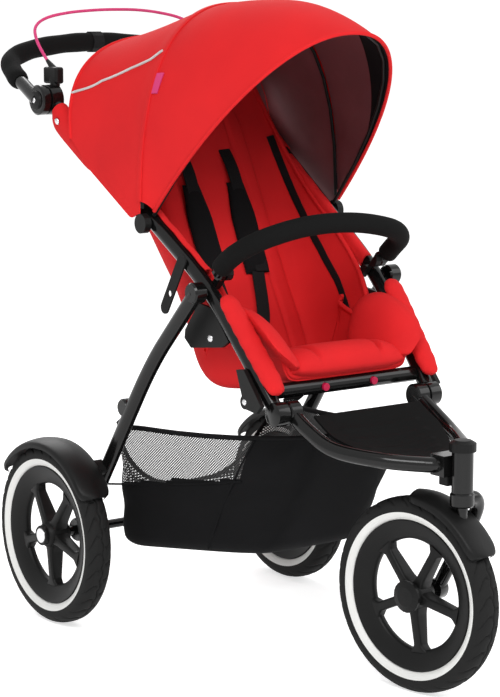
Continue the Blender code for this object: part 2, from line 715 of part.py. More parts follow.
def main_frame():
    """Everything that stays with the main tubes."""
    pieces = [cross_tube(), seat_back(), seat_base(), fold_cable(), frame_strap(), basket()]
    inner = HANDLE_X - TUBE_RADIUS - 0.004
    back_ends = [side_at(-inner, BACK_TUBE), side_at(inner, BACK_TUBE)]
    pieces.append(finish(tube("back_cross_tube", back_ends, 0.0095, 12), BLACK_PAINT))
    makers = (main_tube, gusset_plate, accessory_bracket, bumper_bracket, hood_clamp, cable_anchor,
              seat_wing, tube_sleeve, harness_pad)
    for suffix, side in (("r", -1), ("l", 1)):
        pieces += [make(suffix, side) for make in makers]
        place = button_place(side)
        carried_by("body_button_" + suffix, place, button(suffix, side))
    carried_by("body_main_frame", at(0.0, 0.0, 0.0), *pieces)


# Handlebar and bumper bar

def handlebar():
    """The push handle: a bent tube on two hinge hubs, with a foam grip."""
    arm_x = HANDLE_X + TUBE_RADIUS + 0.0145
    half = [side_at(-arm_x, HANDLE_PIVOT), at(-0.2165, 0.128, 0.9020), at(-0.2085, 0.180, 0.9230),
            at(-0.188, 0.2265, 0.9450), at(-0.140, 0.2440, 0.9620), at(-0.070, 0.2500, 0.9720),
            at(0.0, 0.2510, 0.9750)]
    path = smooth_path(mirrored(half), 2)
    bar = tube("handle_tube", path, 0.0112, 10)
    hubs = [disc("hub", side_at(side * (HANDLE_X + TUBE_RADIUS + 0.0088), HANDLE_PIVOT), (1, 0, 0),
                 HUB_DISC_RADIUS, 0.0168, 24) for side in (-1, 1)]
    bar = finish(fuse(bar, *hubs), BLACK_PLASTIC)
    grip = finish(sleeve("handle_grip", path[3:-3], FOAM_RADIUS, FOAM_RADIUS - 0.0116), BLACK_FOAM)
    band_path = [at(x, 0.2510, 0.9750) for x in (-0.011, 0.011)]
    band = finish(sleeve("wrist_strap_band", band_path, FOAM_RADIUS + 0.0028, 0.0018), BLACK_FABRIC)
    carried_by("body_handlebar", side_at(0.0, HANDLE_PIVOT), bar, grip, band)


def bumper_bar():
    """The padded bar in front of the child."""
    half = [side_at(-0.1685, BUMPER_PIVOT), at(-0.1680, -0.386, 0.6500), at(-0.160, -0.413, 0.6690),
            at(-0.128, -0.430, 0.6860), at(-0.065, -0.434, 0.6990), at(0.0, -0.4345, 0.7030)]
    path = smooth_path(mirrored(half), 2)
    bar = tube("bumper_tube", path, 0.0095, 10)
    places = [side_at(side * 0.1640, BUMPER_PIVOT) for side in (-1, 1)]
    eyes = [disc("eye", place, (1, 0, 0), 0.0120, 0.0130, 16) for place in places]
    bar = finish(fuse(bar, *eyes), BLACK_PLASTIC)
    foam = finish(sleeve("bumper_foam", path[1:-1], FOAM_RADIUS, FOAM_RADIUS - 0.0099), BLACK_FOAM)
    carried_by("body_bumper_bar", side_at(0.0, BUMPER_PIVOT), bar, foam)


# Canopy

def bow_point(turn, angle, reach, half_width, bulge):
    """A point on a canopy arch: turn runs from the near side over the top to the far side."""
    across = -math.copysign(abs(math.cos(turn)) ** (2 / bulge), math.cos(turn))
    up = reach * abs(math.sin(turn)) ** (2 / bulge)
    y = HOOD_PIVOT[0] - up * math.cos(angle)
    return at(half_width * across, y, HOOD_PIVOT[1] + up * math.sin(angle))


def bow(name, angle, reach, half_width, bulge):
    """A thin hoop inside the canopy that turns on the hood clamps."""
    turns = [between(BOW_FIRST, math.pi - BOW_FIRST, k / 16) for k in range(17)]
    path = [bow_point(t, angle, reach - BOW_INSET, half_width - BOW_INSET, bulge) for t in turns]
    return finish(tube(name, path, 0.003, 8), BLACK_PLASTIC)


def front_panel():
    """The canopy's fabric between the middle bow and the front hem."""
    def place(u, v):
        angle = between(math.pi / 2 - 0.012, HEM_ANGLE, v)
        reach = between(MID_REACH, HEM_REACH, v)
        half_width = between(MID_HALF_WIDTH, HEM_HALF_WIDTH, v)
        turn = between(BOW_FIRST + 0.02, math.pi - BOW_FIRST - 0.02, u)
        return bow_point(turn, angle, reach, half_width, between(2.6, 2.2, v))
    return finish(sheet("front_panel", place, 18, 5, FABRIC, offset=0.0), RED_FABRIC)


def rear_panel():
    """The canopy's fabric from the middle bow back along the main tubes."""
    def place(u, v):
        turn = between(0.0, math.pi, u)
        up = abs(math.sin(turn)) ** (2 / 2.6)
        across = -math.copysign(abs(math.cos(turn)) ** (2 / 2.6), math.cos(turn))
        base = Vector((between(HOOD_PIVOT[0], REAR_BASE[0], v),
                       between(HOOD_PIVOT[1] + 0.018, REAR_BASE[1], v)))
        top = Vector((between(HOOD_PIVOT[0] + 0.003, REAR_TOP[0], v),
                      between(HOOD_PIVOT[1] + MID_REACH, REAR_TOP[1], v ** 1.2)))
        spot = between(base, top, up)
        half_width = between(MID_HALF_WIDTH, 0.2095, v)
        return at(half_width * across, spot.x, spot.y)
    return finish(sheet("rear_panel", place, 18, 5, FABRIC, offset=0.0), RED_FABRIC)


def canopy():
    """Two bows and the fabric that they carry."""
    hub = side_at(0.0, HOOD_PIVOT)
    middle = bow("mid_bow", math.pi / 2, MID_REACH, MID_HALF_WIDTH, 2.6)
    front = bow("front_bow", HEM_ANGLE + 0.03, HEM_REACH - 0.003, HEM_HALF_WIDTH, 2.2)
    carried_by("body_canopy_mid", hub, middle)
    carried_by("body_canopy_front", hub, front, front_panel())
    carried_by("body_canopy_rear", hub, rear_panel())


rear_end()
front_end()
main_frame()
handlebar()
bumper_bar()
canopy()
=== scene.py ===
"""Finished looks of a three-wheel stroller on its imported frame.

Every piece is a surface worked out with numpy in the frame's own metres: forward is -Y and the
child's right is -X. Lengths along Y are written from the rear axle and shifted by at().
"""

import json
import math

import bmesh
import bpy
import numpy as np
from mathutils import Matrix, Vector


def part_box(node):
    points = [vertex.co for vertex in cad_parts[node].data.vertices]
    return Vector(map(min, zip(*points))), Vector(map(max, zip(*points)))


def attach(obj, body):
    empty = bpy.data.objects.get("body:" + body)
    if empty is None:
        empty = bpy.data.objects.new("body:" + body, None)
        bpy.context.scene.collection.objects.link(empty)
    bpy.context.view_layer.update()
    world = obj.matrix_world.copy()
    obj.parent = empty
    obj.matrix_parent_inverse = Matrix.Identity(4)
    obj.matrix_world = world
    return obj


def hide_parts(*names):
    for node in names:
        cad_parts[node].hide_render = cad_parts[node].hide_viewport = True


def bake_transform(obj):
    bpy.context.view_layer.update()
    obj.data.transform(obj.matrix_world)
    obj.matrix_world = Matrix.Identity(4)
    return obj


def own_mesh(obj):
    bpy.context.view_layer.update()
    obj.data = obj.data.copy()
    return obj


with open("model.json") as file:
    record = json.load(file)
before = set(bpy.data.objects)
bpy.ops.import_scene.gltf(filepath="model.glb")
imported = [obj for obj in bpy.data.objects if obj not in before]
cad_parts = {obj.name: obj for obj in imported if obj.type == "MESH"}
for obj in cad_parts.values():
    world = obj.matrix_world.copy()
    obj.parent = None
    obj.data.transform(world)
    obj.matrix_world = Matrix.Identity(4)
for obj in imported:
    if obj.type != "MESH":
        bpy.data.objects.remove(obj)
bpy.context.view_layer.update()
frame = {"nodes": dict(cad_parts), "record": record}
joints = {j["name"]: j for j in frame["record"]["behaviour"]["joints"]}

# Places taken from the frame
REAR_AXLE = joints["rear_wheel_spin_r"]["pos_m"]
AXLE_Y = REAR_AXLE[1]
WHEEL_Z = REAR_AXLE[2]
HALF_TRACK = abs(REAR_AXLE[0])


def pivot(name):
    """A joint's place seen from the side, as (y, z) from the rear axle."""
    spot = joints[name]["pos_m"]
    return spot[1] - AXLE_Y, spot[2]


KNUCKLE = pivot("front_fold")
LEG_PIVOT = pivot("leg_fold")
HANDLE_PIVOT = pivot("handle_angle")
HOOD_PIVOT = pivot("canopy_fold")
BUMPER_PIVOT = pivot("bumper_tilt")
HEAD_Y = pivot("fork_swivel")[0]
FRONT_CENTRE = np.array(joints["front_wheel_spin"]["pos_m"])
FRONT_AXIS = np.array(joints["front_wheel_spin"]["axis"])

# Wheel sizes
TYRE_RADIUS = 0.1525
TYRE_HALF_WIDTH = 0.0222
TYRE_SECTION = 0.019
WHITE_WALL = (0.1175, 0.1305)
TREAD_BAND = (0.1385, 0.1440)
TREAD_DEPTH = 0.0030
TREAD_WAVES = 40
TREAD_CUTS = 16
TREAD_STEPS = 480
SPOKES = 5
SPOKE_FOOT = 0.016
SPOKE_LENGTH = 0.0735

# Tube sizes, and the bends seen from the side
TUBE_RADIUS = 0.0124
FRONT_TUBE_RADIUS = 0.0120
FORK_RADIUS = 0.0107
HANDLE_RADIUS = 0.0114
GRIP_RADIUS = 0.0168
BUMPER_RADIUS = 0.0097
BUMPER_FOAM_RADIUS = 0.0162
TUBE_SIDES = 28
BEND = (-0.340, 0.605)
LEG_BEND = (-0.217, 0.467)
KNUCKLE_X = 0.154
BEND_X = 0.170
HANDLE_X = 0.196
LEG_X = 0.1985

# Hood arches: their reach from the hinge, their half widths and how square they are
HEM_ANGLE = math.radians(46.6)
HEM_REACH = 0.421
HEM_HALF_WIDTH = 0.190
MID_REACH = 0.350
MID_HALF_WIDTH = 0.205
REAR_HALF_WIDTH = 0.2095
REAR_ARCH_FOOT_Z = 0.832
REAR_ARCH_TOP = (0.020, 0.990)
HOOD_SQUARENESS = 2.6

# Basket, cloth and release cable
BASKET_CORNER = 0.26
BASKET_REAR_DIP = 0.58
WINDOW_END = 0.74
CLOTH_THICK = 0.0020
CABLE_RADIUS = 0.0027
CABLE_X = 0.1855
CABLE_END = (0.100, 0.9412)

# Sides and directions
SIDES = (("r", -1.0), ("l", 1.0))
BOTH = (-1.0, 1.0)
X_AXIS = np.array([1.0, 0.0, 0.0])
SIDE_UP = (1.0, 0.0, 0.05)


def at(x, y, z):
    """A place given from the rear axle, in the frame."""
    return np.array([x, y + AXLE_Y, z], dtype=float)


def places(*points):
    """Several places given from the rear axle, as an array."""
    return np.array([at(*p) for p in points])


def unit(vectors):
    """Vectors scaled to length one."""
    return vectors / np.maximum(np.linalg.norm(vectors, axis=-1, keepdims=True), 1e-12)


def ramp(low, high, value):
    """Smoothstep: 0 below low, 1 above high, 3t^2 - 2t^3 between."""
    t = np.clip((value - low) / (high - low), 0.0, 1.0)
    return t * t * (3.0 - 2.0 * t)


def power(value, exponent):
    """Signed power, for squarish rounds."""
    return np.sign(value) * np.abs(value) ** exponent


def fullness(value, exponent):
    """How full a stuffed section is: sqrt(1 - |value|^exponent)."""
    return np.sqrt(np.clip(1.0 - np.abs(value) ** exponent, 0.0, 1.0))


def join(x, y, z):
    """Arrays of x, y and z as one array of points."""
    return np.stack(np.broadcast_arrays(x, y, z), axis=-1)


def circle(count):
    """Angles once round, evenly spaced."""
    return np.linspace(0.0, math.tau, count, endpoint=False)


def per_row(first, last, count):
    """A grid's first parameter, evenly spaced from row to row."""
    return np.linspace(first, last, count)[:, None]


def per_column(first, last, count):
    """A grid's second parameter, evenly spaced from column to column."""
    return np.linspace(first, last, count)[None, :]


def upward(vector):
    """The unit vector along a line, on the side that points up."""
    vector = unit(vector)
    return vector if vector[2] > 0 else -vector


def spline(points, count):
    """count points on the Catmull-Rom curve through the given ones."""
    p = np.asarray(points, dtype=float)
    p = np.vstack([2 * p[0] - p[1], p, 2 * p[-1] - p[-2]])
    s = np.linspace(0.0, len(p) - 3 - 1e-9, count)
    k = s.astype(int)
    t = (s - k)[:, None]
    a, b, c, d = p[k], p[k + 1], p[k + 2], p[k + 3]
    square, cube = 2 * a - 5 * b + 4 * c - d, 3 * b - a - 3 * c + d
    return 0.5 * (2 * b + (c - a) * t + square * t ** 2 + cube * t ** 3)


def curve_of(values, share):
    """Smooth values over 0..1 through evenly spaced ones."""
    line = spline(np.array(values, dtype=float)[:, None], 400)[:, 0]
    return np.interp(share, np.linspace(0.0, 1.0, 400), line)


def mirrored(half):
    """A path across the middle plane, from the half that ends on it."""
    flip = np.array([-1.0, 1.0, 1.0])
    return np.vstack([half, (half * flip)[-2::-1]])


def bent(start, corner, end, before, after):
    """A path round a corner: a quadratic arc between the shares before and after of its two straights."""
    share = per_row(0.0, 1.0, 30)
    first, last = corner + before * (start - corner), corner + after * (end - corner)
    arc = (1 - share) ** 2 * first + 2 * share * (1 - share) * corner + share ** 2 * last
    return np.vstack([start, arc, end])


def drum(*steps, core=0.0):
    """A drum's profile to turn: (radius, half height) steps from its face to its waist, and their mirror."""
    low = [(core, -steps[0][1])] + [(radius, -height) for radius, height in steps]
    high = [(radius, height) for radius, height in steps[::-1] if height > 0.0]
    return low + high + [(core, steps[0][1])]


def grid_faces(rows, columns, closed_rows, closed_columns, first=0):
    """The quads of a grid of points, joined round where it closes."""
    index = np.arange(rows * columns).reshape(rows, columns) + first
    if closed_rows:
        index = np.vstack([index, index[:1]])
    if closed_columns:
        index = np.hstack([index, index[:, :1]])
    quads = np.stack([index[:-1, :-1], index[1:, :-1], index[1:, 1:], index[:-1, 1:]], axis=-1)
    return quads.reshape(-1, 4)


def build(name, grids, materials, zones=None, sharp=35.0):
    """One mesh piece from grids of (points, closed_rows, closed_columns, capped)."""
    verts, faces, first = [], [], 0
    for points, closed_rows, closed_columns, capped in grids:
        rows, columns = points.shape[:2]
        verts.append(points.reshape(-1, 3))
        faces.extend(grid_faces(rows, columns, closed_rows, closed_columns, first).tolist())
        if capped:
            faces.append(list(range(first, first + columns)))
            faces.append(list(range(first + (rows - 1) * columns, first + rows * columns)))
        first += rows * columns
    mesh = bpy.data.meshes.new(name)
    mesh.from_pydata(np.vstack(verts).tolist(), [], faces)
    return dress(name, mesh, materials, zones, sharp)


def dress(name, mesh, materials, zones=None, sharp=35.0):
    """Turn the faces out, shade them smooth and give them their materials."""
    bm = bmesh.new()
    bm.from_mesh(mesh)
    if zones is not None:
        for face, zone in zip(bm.faces, zones):
            face.material_index = int(zone)
    bmesh.ops.remove_doubles(bm, verts=bm.verts, dist=1e-6)
    bmesh.ops.recalc_face_normals(bm, faces=bm.faces)
    bm.to_mesh(mesh)
    bm.free()
    mesh.shade_smooth()
    mesh.set_sharp_from_angle(angle=math.radians(sharp))
    for material in materials if isinstance(materials, (list, tuple)) else [materials]:
        mesh.materials.append(material)
    obj = bpy.data.objects.new(name, mesh)
    bpy.context.scene.collection.objects.link(obj)
    return obj


def shell(name, outer, inner, materials):
    """A closed sheet between two grids: the first material outside, the second inside and on its edges."""
    rows, columns = outer.shape[:2]
    index = np.arange(rows * columns).reshape(rows, columns)
    size = rows * columns
    front = grid_faces(rows, columns, False, False)
    back = (front + size)[:, ::-1]
    edge = np.concatenate([index[:, 0], index[-1, 1:], index[-2::-1, -1], index[0, -2:0:-1]])
    following = np.roll(edge, -1)
    rim = np.stack([edge, following, following + size, edge + size], axis=-1)
    mesh = bpy.data.meshes.new(name)
    verts = np.vstack([outer.reshape(-1, 3), inner.reshape(-1, 3)])
    mesh.from_pydata(verts.tolist(), [], np.vstack([front, back, rim]).tolist())
    zones = np.concatenate([np.zeros(len(front)), np.ones(len(back)), np.zeros(len(rim))])
    if not isinstance(materials, (list, tuple)):
        zones[:] = 0
    return dress(name, mesh, materials, zones, 60.0)


def normals_of(points):
    """The unit normals of a grid of points, from its two directions."""
    along = np.gradient(points, axis=0)
    across = np.gradient(points, axis=1)
    return unit(np.cross(along, across))


def rings(path, radii, sides=TUBE_SIDES, up=(0.31, 0.22, 0.93), flat=1.0):
    """Round sections along a path: centre + r (cos a n1 + flat sin a n2), square to the path."""
    tangent = unit(np.gradient(path, axis=0))
    first = unit(np.cross(tangent, np.broadcast_to(np.array(up), tangent.shape)))
    second = np.cross(tangent, first)
    angle = circle(sides)[None, :, None]
    radii = np.broadcast_to(np.asarray(radii, dtype=float), (len(path),))[:, None, None]
    section = np.cos(angle) * first[:, None, :] + flat * np.sin(angle) * second[:, None, :]
    return path[:, None, :] + radii * section


def tube_grid(path, radii, sides=TUBE_SIDES, **options):
    """A capped round tube along a path, as a grid."""
    return rings(path, radii, sides, **options), False, True, True


def turned_grid(profile, centre, axis=X_AXIS, count=72, closed=False):
    """A profile of (radius, height) points turned about an axis through centre."""
    axis = unit(np.asarray(axis, dtype=float))
    side = unit(np.cross(axis, [0.0, 0.0, 1.0] if abs(axis[2]) < 0.9 else [0.0, 1.0, 0.0]))
    other = np.cross(axis, side)
    profile = np.asarray(profile, dtype=float)
    angle = circle(count)[None, :, None]
    radius, height = profile[:, 0][:, None, None], profile[:, 1][:, None, None]
    points = np.asarray(centre) + height * axis + radius * (np.cos(angle) * side + np.sin(angle) * other)
    return points, closed, True, not closed


def strip_grid(path, wide, half_width, half_thick):
    """A flat strap along a path: a rounded oblong section, wide across and thin through it."""
    tangent = unit(np.gradient(path, axis=0))
    across = unit(wide - np.sum(wide * tangent, axis=-1, keepdims=True) * tangent)
    through = np.cross(tangent, across)
    angle = circle(16)[None, :, None]
    flat = half_width * power(np.cos(angle), 0.35) * across[:, None, :]
    thin = half_thick * power(np.sin(angle), 0.35) * through[:, None, :]
    return path[:, None, :] + flat + thin, False, True, True


# Materials

def feed(tree, node, inputs):
    """Fill a node's inputs, by name or number: another node's output is joined, a value is set."""
    for label, value in dict(inputs).items():
        if isinstance(value, bpy.types.NodeSocket):
            tree.links.new(value, node.inputs[label])
        else:
            node.inputs[label].default_value = value


def add_node(tree, kind, inputs=(), **settings):
    """A new shader node with its settings and inputs."""
    node = tree.nodes.new("ShaderNode" + kind)
    for label, value in settings.items():
        setattr(node, label, value)
    feed(tree, node, inputs)
    return node


def math_node(tree, operation, first, second):
    """One arithmetic step between sockets or numbers."""
    return add_node(tree, "Math", {0: first, 1: second}, operation=operation).outputs[0]


def node_group(name, **inputs):
    """A shader group with named float inputs, a Height and a Shade output, and object coordinates inside."""
    group = bpy.data.node_groups.new(name, "ShaderNodeTree")
    for label, value in inputs.items():
        socket = group.interface.new_socket(label, in_out="INPUT", socket_type="NodeSocketFloat")
        socket.default_value = value
    for label in ("Height", "Shade"):
        group.interface.new_socket(label, in_out="OUTPUT", socket_type="NodeSocketFloat")
    given, result = group.nodes.new("NodeGroupInput"), group.nodes.new("NodeGroupOutput")
    return group, given.outputs, result, add_node(group, "TexCoord").outputs["Object"]


def weave_group():
    """Crossed threads: the product of two sine bands on object coordinates, with a soft blotch."""
    group, given, result, here = node_group("cloth_weave", Threads=900.0, Blotch=9.0)
    bands = []
    for direction in ("X", "Z"):
        thread = {"Distortion": 0.6, "Vector": here, "Scale": given["Threads"]}
        bands.append(add_node(group, "TexWave", thread, bands_direction=direction).outputs["Fac"])
    blotch = {"Detail": 4.0, "Vector": here, "Scale": given["Blotch"]}
    shade = add_node(group, "TexNoise", blotch).outputs["Fac"]
    threads = math_node(group, "MULTIPLY", *bands)
    feed(group, result, {"Height": math_node(group, "ADD", threads, shade), "Shade": shade})
    return group


def grain_group():
    """Fine mould grain: small noise for the height, large noise for the gloss."""
    group, given, result, here = node_group("mould_grain", Grain=600.0, Blotch=14.0)
    for label, target in (("Grain", "Height"), ("Blotch", "Shade")):
        noise = add_node(group, "TexNoise", {"Detail": 3.0, "Vector": here, "Scale": given[label]})
        feed(group, result, {target: noise.outputs["Fac"]})
    return group


WEAVE = weave_group()
GRAIN = grain_group()


def surface(name, group, dark, pale, rough, bump, settings=(), metallic=0.0, coat=0.0, shine=0.5):
    """A material whose colour and gloss vary with a group's shade and whose bump is its height.

    dark and pale are colours, or one number for a grey; bump is a strength and a depth in metres.
    """
    material = bpy.data.materials.new(name)
    material.use_nodes = True
    tree = material.node_tree
    effect = add_node(tree, "Group", node_tree=group)
    feed(tree, effect, settings)
    shade, height = effect.outputs["Shade"], effect.outputs["Height"]
    dark, pale = ((*np.broadcast_to(colour, 3), 1.0) for colour in (dark, pale))
    tint = add_node(tree, "Mix", {"A": dark, "B": pale, "Factor": shade}, data_type="RGBA")
    gloss = add_node(tree, "MapRange", {"To Min": rough[0], "To Max": rough[1], "Value": shade})
    relief = add_node(tree, "Bump", {"Strength": bump[0], "Distance": bump[1], "Height": height})
    feed(tree, tree.nodes["Principled BSDF"], {
        "Base Color": tint.outputs["Result"], "Roughness": gloss.outputs["Result"],
        "Normal": relief.outputs["Normal"], "Metallic": metallic, "Coat Weight": coat,
        "Specular IOR Level": shine,
    })
    return material


RED = surface("red_cloth", WEAVE, (0.56, 0.010, 0.013), (0.74, 0.018, 0.020), (0.8, 0.95), (0.22, 0.0006),
              shine=0.22)
LINING = surface("maroon_lining", WEAVE, (0.095, 0.022, 0.028), (0.240, 0.085, 0.092), (0.55, 0.75),
                 (0.2, 0.0005), shine=0.4)
BLACK_CLOTH = surface("black_cloth", WEAVE, 0.003, (0.008, 0.008, 0.009), (0.8, 0.95), (0.25, 0.0006),
                      shine=0.10)
WEBBING = surface("black_webbing", WEAVE, 0.003, (0.008, 0.008, 0.009), (0.6, 0.8), (0.5, 0.0008),
                  [("Threads", 500.0)], shine=0.15)
PLASTIC = surface("moulded_black", GRAIN, 0.004, 0.009, (0.36, 0.50), (0.12, 0.0003), shine=0.14)
TRAY = surface("matt_tray_black", GRAIN, 0.003, 0.006, (0.60, 0.75), (0.12, 0.0003), shine=0.06)
PAINT = surface("gloss_black_paint", GRAIN, 0.003, 0.005, (0.12, 0.20), (0.03, 0.0002), [("Grain", 220.0)],
                coat=0.12, shine=0.22)
FOAM = surface("closed_cell_foam", GRAIN, 0.003, 0.006, (0.85, 0.97), (0.5, 0.0006), [("Grain", 420.0)],
               shine=0.12)
RUBBER = surface("tread_rubber", GRAIN, 0.008, 0.016, (0.65, 0.85), (0.25, 0.0005), shine=0.15)
WHITE = surface("pale_side_wall", GRAIN, (0.70, 0.70, 0.68), (0.82, 0.82, 0.80), (0.5, 0.65), (0.08, 0.0003))
STEEL = surface("plated_steel", GRAIN, (0.55, 0.55, 0.56), (0.70, 0.70, 0.71), (0.18, 0.32), (0.05, 0.0002),
                metallic=1.0)
BRASS = surface("valve_brass", GRAIN, (0.55, 0.38, 0.12), (0.72, 0.52, 0.20), (0.25, 0.4), (0.05, 0.0002),
                metallic=1.0)
MAGENTA = surface("magenta_cord", WEAVE, (0.52, 0.015, 0.12), (0.68, 0.04, 0.20), (0.5, 0.7), (0.3, 0.0004))
BUTTON = surface("magenta_plastic", GRAIN, (0.38, 0.004, 0.040), (0.52, 0.010, 0.065), (0.25, 0.4),
                 (0.05, 0.0002), shine=0.2)
REFLECTIVE = surface("grey_piping", WEAVE, 0.42, 0.60, (0.35, 0.5), (0.3, 0.0004))


NET_TURN = 40.0
NET_THREADS = 92.0
NET_OPEN = 0.50


def mesh_cloth(name):
    """Open netting: square holes cut out of black cloth by two sine bands on object coordinates."""
    material = surface(name, WEAVE, 0.010, 0.022, (0.6, 0.8), (0.2, 0.0004))
    tree = material.node_tree
    here = add_node(tree, "TexCoord").outputs["Object"]
    turned = add_node(tree, "Mapping", {"Vector": here, "Rotation": (math.radians(NET_TURN), 0.0, 0.0)})
    gaps = []
    for direction in ("Y", "Z"):
        thread = {"Scale": NET_THREADS, "Vector": turned.outputs["Vector"]}
        wave = add_node(tree, "TexWave", thread, bands_direction=direction)
        gaps.append(math_node(tree, "GREATER_THAN", wave.outputs["Fac"], NET_OPEN))
    holes = math_node(tree, "MULTIPLY", *gaps)
    feed(tree, tree.nodes["Principled BSDF"], {"Alpha": math_node(tree, "SUBTRACT", 1.0, holes)})
    return material


NETTING = mesh_cloth("black_netting")


def stand_for(obj, *nodes):
    """Hide the CAD nodes that a piece stands for, and give the piece back."""
    if nodes:
        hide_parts(*nodes)
    return obj


def place(obj, body, *nodes):
    """Put a piece on its body, in place of the CAD nodes that it stands for."""
    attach(obj, body)
    return stand_for(obj, *nodes)


def put(name, grids, material, body, *nodes):
    """Build a piece from grids and put it on its body."""
    return place(build(name, grids, material), body, *nodes)


# Camera, light and floor

CAMERA_LENS = 114.75
CAMERA_AT = at(-2.1896, -3.1575, 1.0589)
CAMERA_AIM = at(-0.0603, -0.300, 0.4913)
FLOOR_REACH = 12.0
FLOOR_LIT, FLOOR_SEEN = 0.28, 0.64
ROOM_LIT, ROOM_SEEN = 0.44, 1.05
# Each light's name, place, the height that it is aimed at, its size and its power in watts
LIGHTS = (
    ("key", (-2.4, -2.2, 3.2), 0.5, 1.5, 68.0),
    ("fill", (2.6, -1.9, 2.3), 0.5, 2.0, 30.0),
    ("front", (-1.1, -2.9, 2.7), 0.65, 1.4, 42.0),
    ("rim", (0.8, 2.8, 2.6), 0.6, 1.8, 45.0),
)


def aimed(name, data, spot, aim):
    """A camera or a light at spot that looks at aim."""
    obj = bpy.data.objects.new(name, data)
    bpy.context.scene.collection.objects.link(obj)
    obj.location = Vector(spot)
    obj.rotation_mode = "QUATERNION"
    obj.rotation_quaternion = (Vector(aim) - Vector(spot)).to_track_quat("-Z", "Y")
    return obj


def add_camera():
    """The photo's view."""
    data = bpy.data.cameras.new("photo_camera")
    data.lens = CAMERA_LENS
    data.sensor_width = 36.0
    bpy.context.scene.camera = aimed("photo_camera", data, CAMERA_AT, CAMERA_AIM)


def add_light(name, spot, height, size, watts):
    """A soft square light aimed at a height over the middle of the floor."""
    data = bpy.data.lights.new(name, "AREA")
    data.size = size
    data.energy = watts
    aimed(name, data, spot, (0.0, 0.0, height))


def seen_white(tree, socket, lit, seen):
    """Drive a strength: the value lit for the light it gives, seen where an eye or a reflection meets it."""
    path = add_node(tree, "LightPath").outputs
    direct = math_node(tree, "ADD", path["Is Camera Ray"], path["Is Glossy Ray"])
    direct = math_node(tree, "ADD", direct, path["Is Transmission Ray"])
    level = add_node(tree, "MapRange", {"To Min": lit, "To Max": seen, "Value": direct})
    tree.links.new(level.outputs["Result"], socket)


def add_stage():
    """A white room: pale floor, white world and four soft lights."""
    mesh = bpy.data.meshes.new("floor")
    corners = [(x * FLOOR_REACH, y * FLOOR_REACH, 0.0) for x, y in ((-1, -1), (1, -1), (1, 1), (-1, 1))]
    mesh.from_pydata(corners, [], [(0, 1, 2, 3)])
    floor = bpy.data.objects.new("floor", mesh)
    bpy.context.scene.collection.objects.link(floor)
    pale = bpy.data.materials.new("floor_white")
    pale.use_nodes = True
    tree = pale.node_tree
    shader = tree.nodes["Principled BSDF"]
    white = (1.0, 1.0, 1.0, 1.0)
    feed(tree, shader, {"Base Color": (0.93, 0.93, 0.93, 1.0), "Roughness": 0.85, "Emission Color": white})
    seen_white(tree, shader.inputs["Emission Strength"], FLOOR_LIT, FLOOR_SEEN)
    mesh.materials.append(pale)
    world = bpy.data.worlds.new("white_room")
    bpy.context.scene.world = world
    world.use_nodes = True
    tree = world.node_tree
    back = tree.nodes["Background"]
    back.inputs["Color"].default_value = white
    seen_white(tree, back.inputs["Strength"], ROOM_LIT, ROOM_SEEN)
    for light in LIGHTS:
        add_light(*light)
    bpy.context.scene.view_settings.view_transform = "Standard"


add_camera()
add_stage()


# The release cable, first because it is a free cord

def cable():
    """A loop of magenta cord standing up between the two anchors behind the handle hinges."""
    half = places((-CABLE_X, *CABLE_END), (-0.1850, 0.118, 0.954), (-0.1815, 0.150, 0.981),
                  (-0.168, 0.176, 1.0035), (-0.140, 0.187, 1.0185), (-0.095, 0.188, 1.0275),
                  (-0.045, 0.178, 1.0320), (0.0, 0.172, 1.0330))
    path = spline(mirrored(half), 160)
    piece = build("release_cable", [tube_grid(path, CABLE_RADIUS, 12)], MAGENTA)
    place(piece, "main_frame", "fold_cable")


cable()


# Wheels

def rear_hub(side):
    """The middle of a rear wheel."""
    return at(side * HALF_TRACK, 0.0, WHEEL_Z)


def wheel_frame(axis):
    """Two directions square to a wheel's axis: forward and up."""
    up = np.array([0.0, 0.0, 1.0])
    return unit(np.cross(up, axis)) * -1.0, up


def tyre(name, centre, axis, body, node):
    """Squarish torus r = R - s + s cos^0.8, w = W sin^0.8, with a wavy groove and shoulder cuts."""
    theta = circle(TREAD_STEPS)[:, None]
    t = circle(72)[None, :]
    phi = t - 0.6 * np.sin(t)
    base = TYRE_RADIUS - TYRE_SECTION + TYRE_SECTION * power(np.cos(phi), 0.8)
    width = TYRE_HALF_WIDTH * power(np.sin(phi), 0.8)
    tread = ramp(*TREAD_BAND, base)
    wave = 0.0015 * np.sin(TREAD_WAVES * theta)
    groove = np.exp(-((width - wave) / 0.0013) ** 2)
    lean = 2.6 * np.sin(2.4 * width / TYRE_HALF_WIDTH + 0.8 * np.sign(width))
    curl = np.sin(TREAD_CUTS * theta + lean)
    cuts = np.exp(-(curl / 0.26) ** 2) * ramp(0.0030, 0.0050, np.abs(width))
    radius = base - tread * TREAD_DEPTH * np.minimum(groove + cuts, 1.0)
    forward, up = wheel_frame(axis)
    spoke = np.cos(theta)[..., None] * forward + np.sin(theta)[..., None] * up
    points = centre + (width + 0 * theta)[..., None] * axis + radius[..., None] * spoke
    middle = 0.5 * (base[0] + np.roll(base[0], -1))
    side = (middle > WHITE_WALL[0]) & (middle < WHITE_WALL[1])
    zones = np.tile(side.astype(int), TREAD_STEPS)
    piece = build(name, [(points, True, True, False)], [RUBBER, WHITE], zones, 50.0)
    return place(piece, body, node)


